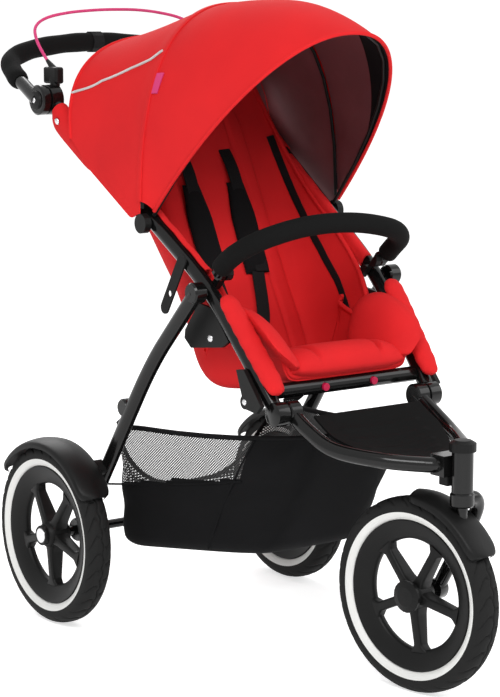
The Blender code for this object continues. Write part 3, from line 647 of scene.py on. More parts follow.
def rim(name, centre, axis, body, node, turned_by=0.0):
    """A deeply dished ring, five straight spokes that flare into it and a hub, about the wheel's axis."""
    lip = [(0.1176, 0.0165), (0.1168, 0.0178), (0.1135, 0.0174), (0.0900, 0.0075), (0.0872, 0.0050)]
    ring = [(radius, -width) for radius, width in lip] + [(0.0862, 0.0)] + lip[::-1] + [(0.1150, 0.0)]
    hub = drum((0.0175, 0.0212), (0.0205, 0.018), (0.022, 0.010), core=0.009)
    grids = [turned_grid(ring, centre, axis, 120, True), turned_grid(hub, centre, axis, 64)]
    forward, up = wheel_frame(axis)
    share = per_row(0.0, 1.0, 32)[..., None]
    around = circle(28)[None, :, None]
    wide = 0.0076 + 0.0090 * ramp(0.80, 1.0, share) ** 1.5 + 0.0030 * ramp(-0.25, 0.0, -share)
    thick = 0.0150 - 0.0060 * share
    for k in range(SPOKES):
        turn = math.tau * k / SPOKES - math.pi / 2 + turned_by
        out = math.cos(turn) * forward + math.sin(turn) * up
        along = math.cos(turn) * up - math.sin(turn) * forward
        points = centre + (SPOKE_FOOT + SPOKE_LENGTH * share) * out
        points = points + wide * power(np.cos(around), 0.45) * along
        points = points + thick * power(np.sin(around), 0.45) * axis
        grids.append((points, False, True, True))
    piece = build(name, grids, PLASTIC, None, 40.0)
    place(piece, body, node)
    out = math.cos(1.0) * forward + math.sin(1.0) * up
    stem = centre + per_row(0.106, 0.080, 8) * out
    radii = [0.0036, 0.0036, 0.003, 0.003, 0.003, 0.0035, 0.0035, 0.003]
    valve = build(name + "_valve", [tube_grid(stem, radii, 14)], BRASS)
    return place(valve, body)


def fender(name, centre, axis, first, last, body, node):
    """The wheel guard: an arched section turned from first to last degrees above the forward line."""
    half = [(0.1490, -0.0290), (0.1545, -0.0282), (0.1585, -0.0250), (0.1612, -0.0150)]
    line = spline(half + [(0.1625, 0.0)] + [(radius, -width) for radius, width in half[::-1]], 40)
    angle = np.radians(np.linspace(first, last, 60))
    forward, up = wheel_frame(axis)
    out = np.cos(angle)[:, None] * forward + np.sin(angle)[:, None] * up
    reach = np.clip(np.minimum(np.degrees(angle) - first, last - np.degrees(angle)) / 9.0, 0.0, 1.0)
    narrow = (0.55 + 0.45 * np.sqrt(1.0 - (1.0 - reach) ** 2))[:, None, None]
    inner = centre + line[None, :, 0, None] * out[:, None, :] + narrow * line[None, :, 1, None] * axis
    outer = inner + 0.0026 * unit(0.6 * out[:, None, :] + line[None, :, 1, None] / 0.029 * axis)
    piece = shell(name, outer, inner, PLASTIC)
    return place(piece, body, node)


for tag, side in SIDES:
    tyre("tyre_skin_rear_" + tag, rear_hub(side), X_AXIS, "rear_wheel_" + tag, "tyre_rear_" + tag)
    rim("rim_form_rear_" + tag, rear_hub(side), X_AXIS, "rear_wheel_" + tag, "rim_rear_" + tag)
tyre("tyre_skin_front", FRONT_CENTRE, FRONT_AXIS, "front_wheel", "tyre_front")
rim("rim_form_front", FRONT_CENTRE, FRONT_AXIS, "front_wheel", "rim_front", 0.12)


def hub_caps():
    """Round caps on the outer ends of the rear hubs: bright discs in black rings."""
    for tag, side in SIDES:
        low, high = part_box("hub_cap_rear_" + tag)
        inner, outer = sorted((abs(low[0]), abs(high[0])))
        face = outer - HALF_TRACK
        foot = inner - HALF_TRACK
        ring = [(0.0, foot), (0.0165, foot), (0.0172, face - 0.002), (0.0160, face), (0.0140, face),
                (0.0130, face - 0.0008), (0.0, face - 0.0008)]
        disc = [(0.0, face - 0.001), (0.0128, face - 0.001), (0.0122, face), (0.006, face + 0.0004),
                (0.0, face + 0.0004)]
        axis = (side, 0.0, 0.0)
        piece = build("hub_ring_rear_" + tag, [turned_grid(ring, rear_hub(side), axis)], PLASTIC)
        place(piece, "rear_wheel_" + tag, "hub_cap_rear_" + tag)
        piece = build("hub_disc_rear_" + tag, [turned_grid(disc, rear_hub(side), axis)], STEEL)
        place(piece, "rear_wheel_" + tag)


hub_caps()


# Tubes and grips

def side_tubes():
    """The main tubes and the rear legs, bent smoothly at their corners, with their hinge drums."""
    knuckle = drum((0.016, 0.0124), (0.0188, 0.0105), (0.0192, 0.0))
    hinge = drum((0.022, 0.0124), (0.0250, 0.0105), (0.0257, 0.0))
    eye = drum((0.0145, 0.0118), (0.0167, 0.009))
    lug = drum((0.0180, 0.0130), (0.0202, 0.010))
    hook = drum((0.0130, 0.0140), (0.0152, 0.011))
    for tag, side in SIDES:
        low = at(side * KNUCKLE_X, *KNUCKLE)
        bend = at(side * BEND_X, *BEND)
        top = at(side * HANDLE_X, *HANDLE_PIVOT)
        grids = [tube_grid(bent(low, bend, top, 0.28, 0.14), TUBE_RADIUS, up=SIDE_UP),
                 turned_grid(knuckle, low), turned_grid(hinge, top)]
        put("main_tube_form_" + tag, grids, PAINT, "main_frame", "main_tube_" + tag)
        foot = at(side * LEG_X, 0.0, WHEEL_Z)
        knee = at(side * LEG_X, *LEG_BEND)
        head = at(side * LEG_X, *LEG_PIVOT)
        grids = [tube_grid(bent(head, knee, foot, 0.3, 0.2), TUBE_RADIUS, up=SIDE_UP),
                 turned_grid(eye, head), turned_grid(lug, foot),
                 turned_grid(hook, at(side * 0.1965, -0.148, 0.387))]
        put("rear_leg_form_" + tag, grids, PAINT, "rear_legs", "rear_leg_" + tag)


def front_tubes():
    """The two front tubes that sweep together into the head lug."""
    eye = [(0.0, -0.0118), (0.016, -0.0118), (0.0190, -0.0095), (0.0192, 0.0095), (0.016, 0.0118),
           (0.0, 0.0118)]
    for tag, side in SIDES:
        head = at(side * 0.129, *KNUCKLE)
        path = spline(np.vstack([head, places((side * 0.128, -0.540, 0.400), (side * 0.119, -0.592, 0.3785),
                                              (side * 0.083, -0.660, 0.3695), (side * 0.040, -0.708, 0.366),
                                              (side * 0.020, -0.718, 0.365))]), 70)
        grids = [tube_grid(path, FRONT_TUBE_RADIUS, up=(0.1, 0.0, 1.0)), turned_grid(eye, head)]
        put("front_tube_form_" + tag, grids, PAINT, "front_frame", "front_tube_" + tag)


def foam_sleeve(name, path, radii, ends, up, body, node):
    """A foam sleeve along a tube, its radii drawn in over three steps at each end."""
    radii[:3] = ends
    radii[-3:] = ends[::-1]
    put(name, [tube_grid(path, radii, up=up)], FOAM, body, node)


def handle():
    """The push handle: a bowed tube under a foam grip, with caps on its hinges."""
    up = (0.0, -0.35, 1.0)
    half = places((-0.2227, *HANDLE_PIVOT), (-0.2165, 0.128, 0.902), (-0.2085, 0.180, 0.923),
                  (-0.188, 0.2265, 0.945), (-0.140, 0.244, 0.962), (-0.070, 0.250, 0.972),
                  (0.0, 0.251, 0.975))
    path = spline(mirrored(half), 181)
    hub = drum((0.0225, 0.0084), (0.0254, 0.006), (0.0256, 0.0))
    grids = [tube_grid(path, HANDLE_RADIUS, up=up)]
    grids += [turned_grid(hub, at(s * 0.217, *HANDLE_PIVOT)) for s in BOTH]
    put("handle_tube_form", grids, PAINT, "handlebar", "handle_tube")
    grip = path[22:159]
    radii = GRIP_RADIUS + 0.0004 * np.sin(np.linspace(0, 60, len(grip)))
    ends = (0.0130, 0.0158, 0.0166)
    foam_sleeve("handle_grip_form", grip, radii, ends, up, "handlebar", "handle_grip")
    cap = [(0.0, 0.0), (0.0165, 0.0), (0.0150, 0.0035), (0.006, 0.005), (0.0, 0.005)]
    caps = [turned_grid(cap, at(s * 0.2254, *HANDLE_PIVOT), (s, 0, 0), 40) for s in BOTH]
    put("handle_hinge_caps", caps, PLASTIC, "handlebar")


def bumper():
    """The bar across the child's lap with its foam sleeve."""
    up = (0.0, 0.5, 1.0)
    half = places((-0.1685, *BUMPER_PIVOT), (-0.168, -0.386, 0.650), (-0.160, -0.413, 0.669),
                  (-0.128, -0.430, 0.686), (-0.065, -0.434, 0.699), (0.0, -0.4345, 0.703))
    path = spline(mirrored(half), 161)
    eye = drum((0.0105, 0.0055), (0.0121, 0.004))
    grids = [tube_grid(path, BUMPER_RADIUS, up=up)]
    grids += [turned_grid(eye, at(s * 0.164, *BUMPER_PIVOT)) for s in BOTH]
    put("bumper_tube_form", grids, PAINT, "bumper_bar", "bumper_tube")
    padded = path[5:156]
    radii = np.full(len(padded), BUMPER_FOAM_RADIUS)
    ends = (0.0115, 0.0150, 0.0160)
    foam_sleeve("bumper_foam_form", padded, radii, ends, up, "bumper_bar", "bumper_foam")


side_tubes()
front_tubes()
handle()
bumper()


def guards_and_fork():
    """Wheel guards with their stays, and the one-sided front fork."""
    for tag, side in SIDES:
        fender("fender_form_rear_" + tag, rear_hub(side), X_AXIS, 32, 144, "rear_legs", "rear_fender_" + tag)
        stay = places(*((side * x, -0.0855, 0.277) for x in (0.2090, 0.2140, 0.2190, 0.2240)))
        stay = strip_grid(stay, np.broadcast_to(np.array([0.0, 0.7, 0.7]), (4, 3)), 0.0125, 0.0080)
        put("fender_stay_" + tag, [stay], PLASTIC, "rear_legs")
    fender("fender_form_front", FRONT_CENTRE, FRONT_AXIS, 31, 90, "front_fork", "front_fender")
    forward, up = wheel_frame(FRONT_AXIS)
    head = at(0.0, HEAD_Y, 0.0)
    path = spline(np.array([head + up * 0.3148, head + FRONT_AXIS * 0.030 + up * 0.312,
                            head + FRONT_AXIS * 0.047 - forward * 0.012 + up * 0.286,
                            head + FRONT_AXIS * 0.048 - forward * 0.050 + up * 0.218,
                            FRONT_CENTRE + FRONT_AXIS * 0.048]), 60)
    crown = [(0.0, 0.3042), (0.0165, 0.3042), (0.0185, 0.3065), (0.0185, 0.3232), (0.0165, 0.3254),
             (0.0, 0.3254)]
    boss = [(0.0, 0.0375), (0.0165, 0.0375), (0.0165, 0.0545), (0.0140, 0.0585), (0.0, 0.0585)]
    pin = [(0.0, 0.2810), (0.0095, 0.2810), (0.0080, 0.2920), (0.0095, 0.3044), (0.0, 0.3044)]
    axle = [(0.0, -0.0200), (0.0080, -0.0200), (0.0080, 0.0400), (0.0, 0.0400)]
    grids = [tube_grid(path, FORK_RADIUS), turned_grid(crown, head, up),
             turned_grid(boss, FRONT_CENTRE, FRONT_AXIS), turned_grid(axle, FRONT_CENTRE, FRONT_AXIS),
             turned_grid(pin, head, up)]
    put("fork_form", grids, PAINT, "front_fork", "fork")


guards_and_fork()


# Canopy

def arch(turn, angle, reach, half_width, bulge):
    """Squarish arch leaning by angle: x = -w cos^(2/n), distance from the hinge = reach sin^(2/n)."""
    across = -power(np.cos(turn), 2.0 / bulge)
    rise = reach * np.abs(np.sin(turn)) ** (2.0 / bulge)
    y = HOOD_PIVOT[0] + AXLE_Y - rise * np.cos(angle)
    z = HOOD_PIVOT[1] + rise * np.sin(angle)
    return join(half_width * across, y, z)


def front_cloth(turn, v):
    """Front panel: arches from the middle bow to the hem, drawn in between them by sin(pi v)."""
    angle = math.pi / 2 - 0.012 + (HEM_ANGLE - math.pi / 2 + 0.012) * v
    slack = 0.006 * np.sin(math.pi * v) * np.sin(turn)
    crease = 0.0011 * np.sin(7.0 * turn + 5.0 * v) * np.sin(math.pi * v)
    reach = MID_REACH + (HEM_REACH - MID_REACH) * v - slack + crease
    half = MID_HALF_WIDTH + (HEM_HALF_WIDTH - MID_HALF_WIDTH) * v - 0.5 * slack
    return arch(turn, angle, reach, half, HOOD_SQUARENESS - 0.4 * v)


def rear_cloth(turn, v):
    """Rear panel: lofted from the middle bow to the rear arch, drawn in between them."""
    rise = np.abs(np.sin(turn)) ** (2.0 / HOOD_SQUARENESS)
    across = -power(np.cos(turn), 2.0 / HOOD_SQUARENESS)
    drop = 0.026 * ramp(-0.03, 0.15, v) * (1.0 - 0.6 * ramp(0.7, 1.0, v))
    base_y = HOOD_PIVOT[0] * (1 - v)
    base_z = HOOD_PIVOT[1] + 0.018 + (REAR_ARCH_FOOT_Z - HOOD_PIVOT[1] - 0.018) * v - drop
    top_y = HOOD_PIVOT[0] + 0.003 + (REAR_ARCH_TOP[0] - HOOD_PIVOT[0] - 0.003) * v
    top_z = HOOD_PIVOT[1] + MID_REACH + (REAR_ARCH_TOP[1] - HOOD_PIVOT[1] - MID_REACH) * v ** 1.2
    slack = 0.005 * np.sin(math.pi * v) * np.sin(turn)
    y = base_y + (top_y - base_y) * rise + AXLE_Y
    z = base_z + (top_z - base_z) * rise - slack
    half = MID_HALF_WIDTH + (REAR_HALF_WIDTH - MID_HALF_WIDTH) * v - 0.5 * slack
    return join(half * across, y, z)


def inside_of(points, centre, depth):
    """The grid moved by depth towards the side where centre lies."""
    normal = normals_of(points)
    facing = np.sign(np.sum(normal * (centre - points), axis=-1, keepdims=True))
    lead = np.sign(np.sum(facing)) or 1.0
    return points + depth * lead * normal


HOOD_MIDDLE = at(0.0, HOOD_PIVOT[0] - 0.08, HOOD_PIVOT[1] + 0.12)


def canopy():
    """Two red panels lined dark inside, piped at the seams and hem, with a black band inside the front."""
    turn = per_row(0.052, math.pi - 0.052, 101)
    v = per_column(0.0, 1.0, 37)
    outer = front_cloth(turn, v)
    front = shell("canopy_front_cloth", outer, inside_of(outer, HOOD_MIDDLE, CLOTH_THICK), [RED, LINING])
    band_from = 0.95 - 0.25 * ramp(0.25, 0.85, np.sin(turn))
    facing = front_cloth(turn, band_from + (1.0 - band_from) * per_column(0.0, 1.0, 9))
    facing = inside_of(facing, HOOD_MIDDLE, 0.0021)
    band = shell("canopy_visor_band", facing, inside_of(facing, HOOD_MIDDLE, 0.0014), BLACK_CLOTH)
    wide = per_row(0.0, math.pi, 101)
    back_outer = rear_cloth(wide, v)
    back_inner = inside_of(back_outer, HOOD_MIDDLE, CLOTH_THICK)
    back = shell("canopy_rear_cloth", back_outer, back_inner, [RED, LINING])
    for piece in (front, band):
        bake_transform(piece)
    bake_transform(back)
    stand_for(front, "front_panel")
    stand_for(band)
    stand_for(back, "rear_panel")
    line = turn[:, 0]
    hem_pipe = build("canopy_hem_piping", [tube_grid(front_cloth(line, 1.0), 0.0032, 12)], RED)
    place(hem_pipe, "canopy_front")
    proud = 0.0008
    over_bow = arch(line, math.pi / 2 - 0.001, MID_REACH + proud, MID_HALF_WIDTH + proud, HOOD_SQUARENESS)
    along_y = np.broadcast_to(np.array([0.0, 1.0, 0.0]), over_bow.shape)
    seam = build("canopy_seam_piping", [strip_grid(over_bow, along_y, 0.0056, 0.0016)], RED)
    place(seam, "canopy_mid")
    rear_arch = rear_cloth(wide[:, 0], 1.0)
    binding = build("canopy_rear_binding", [tube_grid(rear_arch, 0.0030, 12)], RED)
    place(binding, "main_frame")
    v_line = np.linspace(0.0, 1.0, 60)
    slant = np.interp(v_line, [0.0, 0.358, 0.683, 1.0], [0.80, 0.698, 0.576, 0.358])
    stripes = []
    for line_turn in (slant, math.pi - slant):
        ribbon = rear_cloth(line_turn[:, None] + np.array([[0.0, 0.02]]), v_line[:, None])
        stripes.append(tube_grid(inside_of(ribbon, HOOD_MIDDLE, -0.0014)[:, 0], 0.0021, 10))
    stripe = build("canopy_grey_piping", stripes, REFLECTIVE)
    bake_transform(stripe)
    stand_for(stripe)
    tab_low = front_cloth(per_row(0.530, 0.655, 14), per_column(0.008, 0.105, 8))
    tab_top, tab_under = (inside_of(tab_low, HOOD_MIDDLE, -gap) for gap in (0.0022, 0.0006))
    tab = place(shell("canopy_tab", tab_top, tab_under, MAGENTA), "canopy_mid")


canopy()


# Seat

SEAT_LINE = spline([(-0.005, 0.900), (-0.045, 0.825), (-0.100, 0.715), (-0.150, 0.615), (-0.200, 0.525),
                    (-0.243, 0.454), (-0.290, 0.435), (-0.360, 0.444), (-0.430, 0.462), (-0.496, 0.476)], 200)
SEAT_MIDDLE = at(0.0, -0.33, 0.62)


def seat_frame(share):
    """The seat's side line at a share of its length: its place and its normal, towards the child."""
    steps = np.linspace(0.0, 1.0, len(SEAT_LINE))
    slope = unit(np.gradient(SEAT_LINE, axis=0))
    place_yz = np.stack([np.interp(share, steps, SEAT_LINE[:, k]) for k in (0, 1)], axis=-1)
    slope = unit(np.stack([np.interp(share, steps, slope[:, k]) for k in (0, 1)], axis=-1))
    return place_yz, np.stack([slope[..., 1], -slope[..., 0]], axis=-1)


def seat_point(x, share, lift):
    """A point over the seat line: x across, lift along the normal."""
    spot, normal = seat_frame(share)
    y = spot[..., 0] + lift * normal[..., 0] + AXLE_Y
    z = spot[..., 1] + lift * normal[..., 1]
    return join(x, y, z)


def seat_spot(x, share, lift):
    """One point over the seat line."""
    return seat_point(np.array([x]), np.array([share]), lift)[0]


def bucket():
    """The seat's sling: a trough along the seat line whose sides rise as h |u|^n to the main tubes."""
    share = per_row(0.0, 0.965, 121)
    u = per_column(-1.0, 1.0, 81)
    half = curve_of([0.164, 0.174, 0.174, 0.166, 0.150, 0.141, 0.137, 0.133, 0.130, 0.127], share)
    wall = curve_of([0.006, 0.016, 0.058, 0.116, 0.158, 0.158, 0.128, 0.100, 0.070, 0.036], share)
    x = half * np.tanh(1.7 * u) / math.tanh(1.7)
    pucker = 0.0016 * np.sin(40.0 * share + 4.0 * u) * np.abs(u) ** 2 * ramp(0.3, 0.6, share)
    steep = 3.0 + 3.5 * ramp(0.35, 0.6, share)
    outer = seat_point(x, share, wall * np.abs(u) ** steep - 0.006 + pucker)
    inner = inside_of(outer, SEAT_MIDDLE, 0.0065)
    piece = shell("seat_bucket", outer, inner, RED)
    place(piece, "main_frame", "seat_back")
    edges = [tube_grid(inner[:, k], 0.0040, 12) for k in (0, -1)]
    edges += [tube_grid(inner[k], 0.0040, 12) for k in (0, -1)]
    put("seat_edge_binding", edges, RED, "main_frame")
    zips = []
    over = inside_of(outer, SEAT_MIDDLE, 0.0078)
    row = np.arange(16, 78)
    edge_share = np.interp(share[row, 0], [0.13, 0.33, 0.375, 0.43, 0.53, 0.62],
                           [0.80, 0.83, 0.85, 0.895, 0.945, 0.975])
    for side in BOTH:
        column = 40.0 * (1.0 + side * edge_share)
        first = np.floor(column).astype(int)
        part = (column - first)[:, None]
        line = (1.0 - part) * over[row, first] + part * over[row, first + 1]
        zips.append(strip_grid(line, over[row, first + 1] - over[row, first], 0.0066, 0.0011))
    put("seat_zips", zips, WEBBING, "main_frame")


def wing(tag, side):
    """A fat side pad at the front of the seat: a pillow leaning out, its top edge arched over its length."""
    u = per_row(-1.0, 1.0, 51)
    v = per_column(-1.0, 1.0, 41)
    share = 0.5 * (u * (1.0 - 0.14 * np.abs(v) ** 5) + 1.0)
    rise = 0.5 * (v * (1.0 - 0.14 * np.abs(u) ** 5) + 1.0)
    y = -0.340 - 0.158 * share + 0.010 * rise
    low = 0.476 + 0.008 * share
    high = 0.562 + 0.085 * share - 0.125 * share ** 2
    z = low + (high - low) * rise
    x = 0.1135 + (0.0290 + 0.0130 * share) * rise ** 1.2 - 0.004 * share
    full = fullness(u, 3.5) * fullness(v, 4)
    inner, outer = (join(side * (x + depth * full), y + AXLE_Y, z) for depth in (-0.025, 0.009))
    piece = shell("seat_wing_form_" + tag, inner, outer, RED)
    place(piece, "main_frame", "seat_wing_" + tag)


def pad(name, half, first, last, lift, thick, material, seams=(), under=0.25):
    """A stuffed pad on the seat line: thickness (1 - u^4)^0.5 (1 - v^6)^0.5, pinched along its seams."""
    u = per_column(-1.0, 1.0, 61)
    v = per_row(-1.0, 1.0, 61)
    full = fullness(u, 4) * fullness(v, 6)
    pinch = sum((np.exp(-((u - s) / 0.035) ** 2) for s in seams), 0.0 * u)
    share = first + (last - first) * 0.5 * (v * (1.0 - 0.05 * np.abs(u) ** 6) + 1.0)
    x = half * u * (1.0 - 0.11 * np.abs(v) ** 7)
    top = seat_point(x, share, lift + thick * full * (1.0 - 0.35 * pinch))
    low = seat_point(x, share, lift - thick * full * (0.25 + (under - 0.25) * ramp(0.1, 0.8, v)))
    piece = shell(name, top, low, material)
    return piece


def upper_tube(side):
    """A main tube's upper straight: its two ends, and the direction square to it that points up."""
    bend, top = at(side * BEND_X, *BEND), at(side * HANDLE_X, *HANDLE_PIVOT)
    return bend, top, upward(np.cross(unit(top - bend), X_AXIS))


def tube_bands():
    """Red cloth wrapped over the inner front of each upper main tube, from which the sling hangs."""
    for tag, side in SIDES:
        bend, top, front = upper_tube(side)
        inward = unit(np.cross(front, unit(top - bend)))
        inward = inward if inward[0] * side < 0 else -inward
        share = per_row(0.045, 0.60, 60)[..., None]
        angle = np.radians(np.linspace(-75.0, 82.0, 30))[None, :, None]
        out = np.cos(angle) * inward + np.sin(angle) * front
        reach = 0.0152 + 0.0006 * np.sin(60.0 * share) + 0.0050 * np.exp(-((angle - 0.9) / 0.45) ** 2)
        spot = bend + share * (top - bend)
        outer = spot + reach * out
        piece = shell("tube_band_" + tag, outer, spot + (reach - 0.0022) * out, RED)
        place(piece, "main_frame")


def hood_drop():
    """A cloth closing the hood behind: ruled from the rear arch to the sling's top, with a sine belly."""
    turn = per_row(0.0, math.pi, 81)
    w = per_column(0.0, 1.0, 17)
    low = seat_point(-0.164 * np.cos(turn), 0.0 * turn, -0.004)
    outer = (1.0 - w[..., None]) * rear_cloth(turn, 1.0) + w[..., None] * low
    outer[..., 1] += 0.008 * np.sin(math.pi * w)
    piece = shell("hood_rear_drop", outer, inside_of(outer, at(0.0, -0.25, 0.80), 0.0018), [RED, LINING])
    place(piece, "main_frame")


def cushions():
    """The thick seat cushion and the thin one up the backrest, each with two sewn channels."""
    seat = pad("seat_cushion", half=0.119, first=0.655, last=1.0, lift=0.010, thick=0.040, material=RED,
               seams=(-0.55, 0.55), under=0.38)
    place(seat, "main_frame", "seat_base")
    back = pad("back_cushion", half=0.106, first=0.03, last=0.600, lift=0.010, thick=0.016, material=RED,
               seams=(-0.62, 0.62))
    place(back, "main_frame")


bucket()
hood_drop()
tube_bands()
for tag, side in SIDES:
    wing(tag, side)
cushions()


def tube_sleeves():
    """Padded red rolls lying along the lower main tubes."""
    for tag, side in SIDES:
        low, bend = at(side * KNUCKLE_X, *KNUCKLE), at(side * BEND_X, *BEND)
        line = unit(bend - low)
        lift = upward(np.cross(line, X_AXIS))
        share = per_row(0.09, 0.86, 60)
        path = low + share * (bend - low) + 0.0235 * lift
        ends = fullness(np.linspace(-1.0, 1.0, 60), 8)
        radii = 0.0050 + 0.0130 * ends + 0.0005 * np.sin(np.linspace(0.0, 50.0, 60))
        piece = build("tube_sleeve_form_" + tag, [tube_grid(path, radii, 32, up=lift, flat=0.62)], RED)
        place(piece, "main_frame", "tube_sleeve_" + tag)


def harness():
    """Two shoulder pads on webbing whose lower straps are tucked to a buckle behind the near wing."""
    share = np.linspace(0.0, 1.0, 40)
    buckle = seat_spot(-0.082, 0.635, 0.034)
    straps, clips = [], []
    wide = np.broadcast_to(X_AXIS, (40, 3))
    for tag, side in SIDES:
        u = per_column(-1.0, 1.0, 31)
        v = per_row(-1.0, 1.0, 51)
        full = fullness(u, 4) * fullness(v, 8)
        middle = 0.046 * side - 0.003
        x = middle - 0.003 * (v + 1.0) * (side > 0) + 0.0245 * u * (1.0 - 0.30 * ramp(0.2, 1.0, -v))
        span = 0.288 + 0.083 * v
        top = seat_point(x, span, 0.0285 + 0.0075 * full)
        low = seat_point(x, span, 0.0285 - 0.0045 * full)
        piece = shell("shoulder_pad_" + tag, top, low, BLACK_CLOTH)
        place(piece, "main_frame", "harness_pad_" + tag)
        upper = seat_point(middle + 0.0 * share, 0.10 + 0.27 * share, 0.012 + 0.022 * ramp(0.0, 0.35, share))
        turn_at = middle - 0.004
        knee = seat_spot(turn_at - 0.030 * (side > 0), 0.48, 0.031)
        tongue = buckle + np.array([0.010 * side, 0.010, 0.008])
        below = spline([seat_spot(turn_at, 0.355, 0.031), knee, tongue], 40)
        straps += [strip_grid(upper, wide, 0.0125, 0.0010), strip_grid(below, wide, 0.0125, 0.0010)]
        clips.append(strip_grid(below[22:29], wide[:7], 0.0165, 0.0036))
    put("harness_webbing", straps, WEBBING, "main_frame")
    clasp = turned_grid(drum((0.018, 0.007), (0.0205, 0.004)), buckle, (0.0, -0.75, 0.65), 48)
    put("harness_buckle", clips + [clasp], PLASTIC, "main_frame")


tube_sleeves()
harness()


# Basket and footwell

def basket_place(along, across, up):
    """Basket wall: sides leaning from the low line to the top line, the rear edge dipping between corners."""
    up = up * (1.0 - BASKET_REAR_DIP * (1.0 - np.abs(across) ** 3) * np.clip(1.0 - along / 0.3, 0.0, 1.0))
    y_low, y_high = -0.050 - 0.350 * along, -0.046 - 0.476 * along
    low = 0.128 + 0.044 * along - 0.008 * np.sin(math.pi * along) * (1 - np.abs(across))
    high = 0.345 + 0.039 * along - 0.010 * np.sin(math.pi * along)
    half_low, half_high = 0.168 - 0.063 * along, 0.178 - 0.074 * along
    half = half_low + (half_high - half_low) * up + 0.006 * np.sin(math.pi * up) * np.sin(math.pi * along)
    y = y_low + (y_high - y_low) * up
    z = low + (high - low) * up
    return join(half * across, y + AXLE_Y, z)


def basket_point(around, up, shrink=1.0):
    """A place round the basket's squarish plan."""
    along = 0.5 - 0.5 * power(np.cos(around), BASKET_CORNER) * shrink
    return basket_place(along, power(np.sin(around), BASKET_CORNER) * shrink, up)


def window_sill(along):
    """How far up the basket's side its net window begins."""
    return 0.50 + 0.18 * along


def basket():
    """A slung cloth basket: net windows high in its sides, plain cloth below, bound and seamed."""
    count = 240
    turn = circle(count)
    around = (turn - 0.2 * np.sin(4 * turn))[None, :]
    t = per_row(0.0, 1.0, 16)
    bend = t * math.pi / 2
    rows = np.vstack([basket_point(around, 0.0 * t, 0.02 + 0.86 * t),
                      basket_point(around, 0.10 * (1 - np.cos(bend)), 0.88 + 0.12 * np.sin(bend))[1:],
                      basket_point(around, 0.10 + 0.90 * np.linspace(0.0, 1.0, 37)[1:, None], 1.0)])
    crumple = 0.0018 * np.sin(5 * around + rows[..., 2] * 90.0) * np.sin(around * 3 + 1.0)
    rows[..., 0] += crumple * np.sign(rows[..., 0])
    floor_rows = 2 * len(t) - 1
    along = 0.5 - 0.5 * power(np.cos(around[0]), BASKET_CORNER)
    window = (along < WINDOW_END)[None, :]
    height = np.concatenate([np.zeros(floor_rows), np.linspace(0.10, 1.0, len(rows) - floor_rows)])
    sill = window_sill(along[None, :])
    zone = window & (height[:-1, None] > sill) & (height[:-1, None] < 0.97)
    cloths = [BLACK_CLOTH, NETTING]
    piece = build("basket_cloth", [(rows, False, True, False)], cloths, zone.reshape(-1), 60.0)
    loop = basket_point(np.append(around[0], around[0, :2] + math.tau), 1.0)
    seams = [tube_grid(loop, 0.0036, 10, up=(0.0, 0.0, 1.0))]
    level = np.linspace(0.03, 0.98, 40)
    line = np.linspace(0.0, WINDOW_END, 40)
    for side in BOTH:
        seams.append(tube_grid(basket_place(WINDOW_END - 0.10 * (1 - level), side, level), 0.0020, 8))
        seams.append(tube_grid(basket_place(line, side, window_sill(line)), 0.0018, 8))
        hook = spline(places((side * 0.1765, -0.085, 0.342), (side * 0.1800, -0.118, 0.362),
                             (side * 0.1815, -0.140, 0.381), (side * 0.1815, -0.150, 0.398)), 30)
        seams.append(strip_grid(hook, np.broadcast_to(np.array([0.0, 0.6, 0.8]), (30, 3)), 0.0090, 0.0010))
    trim = build("basket_binding", seams, BLACK_CLOTH)
    for part in (piece, trim):
        place(part, "main_frame")
        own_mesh(part)
    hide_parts("basket")


def footwell():
    """A dished tray between the front tubes with a raised rear lip and cross ribs."""
    u = per_column(-1.0, 1.0, 41)
    v = per_row(0.0, 1.0, 61)
    half = 0.107 - 0.077 * np.clip((v - 0.25) / 0.75, 0.0, 1.0) ** 1.35
    dish = 0.012 * np.sin(math.pi * v) * np.cos(0.5 * math.pi * u)
    ribs = 0.0014 * ramp(0.2, 0.7, np.sin(v * 44.0)) * (np.abs(u) < 0.72)
    z = 0.368 + 0.050 * (1.0 - v) ** 2.2 - dish
    y = -0.527 - 0.173 * v + AXLE_Y
    top, low = join(half * u, y, z + 0.002 + ribs), join(half * u, y, z - 0.002)
    place(shell("footwell_form", top, low, TRAY), "front_frame", "footwell")


basket()
footwell()


# Small pieces

def stud(centre, axis, radius, height, count=32):
    """A domed rivet head standing on a face."""
    turn = np.linspace(0.0, math.pi / 2, 7)
    dome = [(radius * math.cos(a) ** 0.6, height * math.sin(a)) for a in turn[:-1]]
    return turned_grid([(0.0, 0.0)] + dome + [(0.0, height)], centre, axis, count)


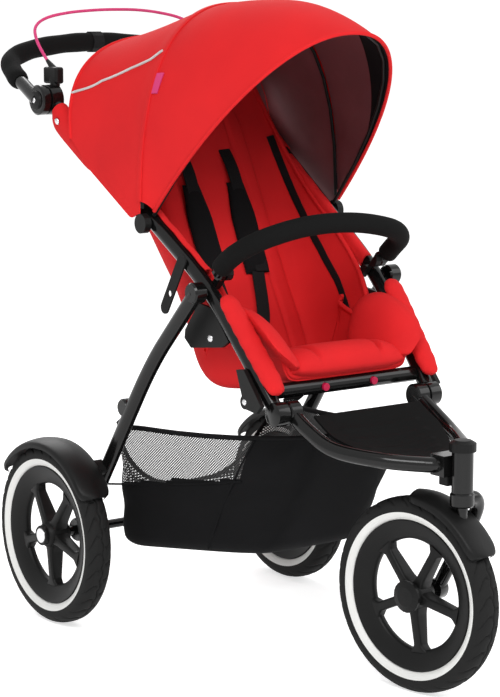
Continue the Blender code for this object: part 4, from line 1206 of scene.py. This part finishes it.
def rear_flaps():
    """Red cloth wrapped round the top of each main tube under the hood, with a snap stud."""
    studs = []
    for tag, side in SIDES:
        bend, top, front = upper_tube(side)
        under = -front
        share = per_row(0.65, 0.940, 40)[..., None]
        angle = per_column(-2.9, 3.3, 52)[..., None]
        ends = fullness((share - 0.795) / 0.145, 6)
        hang = 0.0190 * np.exp(-((angle - 0.35) / 0.75) ** 2) * ends
        spot = bend + share * (top - bend)
        sideways = np.sin(angle) * np.array([side, 0.0, 0.0])
        round_tube = np.cos(angle) * under + sideways
        outer = spot + 0.0146 * round_tube + hang * (np.cos(angle) * under + 0.4 * sideways)
        inner = outer - 0.0016 * round_tube
        piece = place(shell("hood_flap_" + tag, outer, inner, RED), "main_frame")
        studs.append(stud(outer[33, 34], outer[33, 34] - spot[33, 0], 0.0062, 0.0040))
    put("hood_flap_studs", studs, STEEL, "main_frame")


def cable_fittings():
    """A neck under each cable fitting, down to its hinge, and a tapered sleeve where the cord leaves it."""
    grids = []
    for side in BOTH:
        foot = places((side * 0.1885, HANDLE_PIVOT[0] + 0.004, HANDLE_PIVOT[1] + 0.014),
                      (side * 0.1880, 0.082, 0.909), (side * 0.1865, 0.089, 0.918))
        grids.append(tube_grid(spline(foot, 12), 0.0085, 20, up=X_AXIS))
        lead = unit(np.array([0.0, 0.827, 0.562]))
        sleeve = at(side * CABLE_X, *CABLE_END) + per_row(-0.014, 0.012, 10) * lead
        grids.append(tube_grid(sleeve, np.linspace(0.0062, 0.0032, 10), 18, up=X_AXIS))
    put("cable_fitting_necks", grids, PLASTIC, "main_frame")


def rivets():
    """Bright rivet heads on the side plates and the handle hinges."""
    heads = [stud(at(s * 0.1720, -0.346, 0.524), (s, 0, 0), 0.0062, 0.0035) for s in BOTH]
    heads += [stud(at(s * 0.1827, -0.450, 0.438), (s, 0, 0), 0.0050, 0.0025) for s in BOTH]
    put("plate_rivets", heads, STEEL, "main_frame")
    screws = [stud(at(s * 0.2304, *HANDLE_PIVOT), (s, 0, 0), 0.0050, 0.0018) for s in BOTH]
    put("handle_screws", screws, STEEL, "handlebar")


rear_flaps()
cable_fittings()
rivets()


# Finishes of the CAD nodes that show

FINISHES = {
    PAINT: ("rear_axle", "head_tube", "back_cross_tube", "seat_cross_tube"),
    PLASTIC: ("gusset_plate_r", "gusset_plate_l", "brake_pedal", "head_cap", "swivel_lock", "hub_cap_front",
              "accessory_bracket_r", "accessory_bracket_l", "bumper_bracket_r", "bumper_bracket_l",
              "cable_anchor_r", "cable_anchor_l", "hood_clamp_r", "hood_clamp_l", "mid_bow", "front_bow"),
    WEBBING: ("wrist_strap_band",),
    RUBBER: ("frame_strap",),
    BUTTON: ("button_r", "button_l"),
}
for finish, names in FINISHES.items():
    for node in names:
        solid = frame["nodes"][node]
        solid.data.materials.clear()
        solid.data.materials.append(finish)
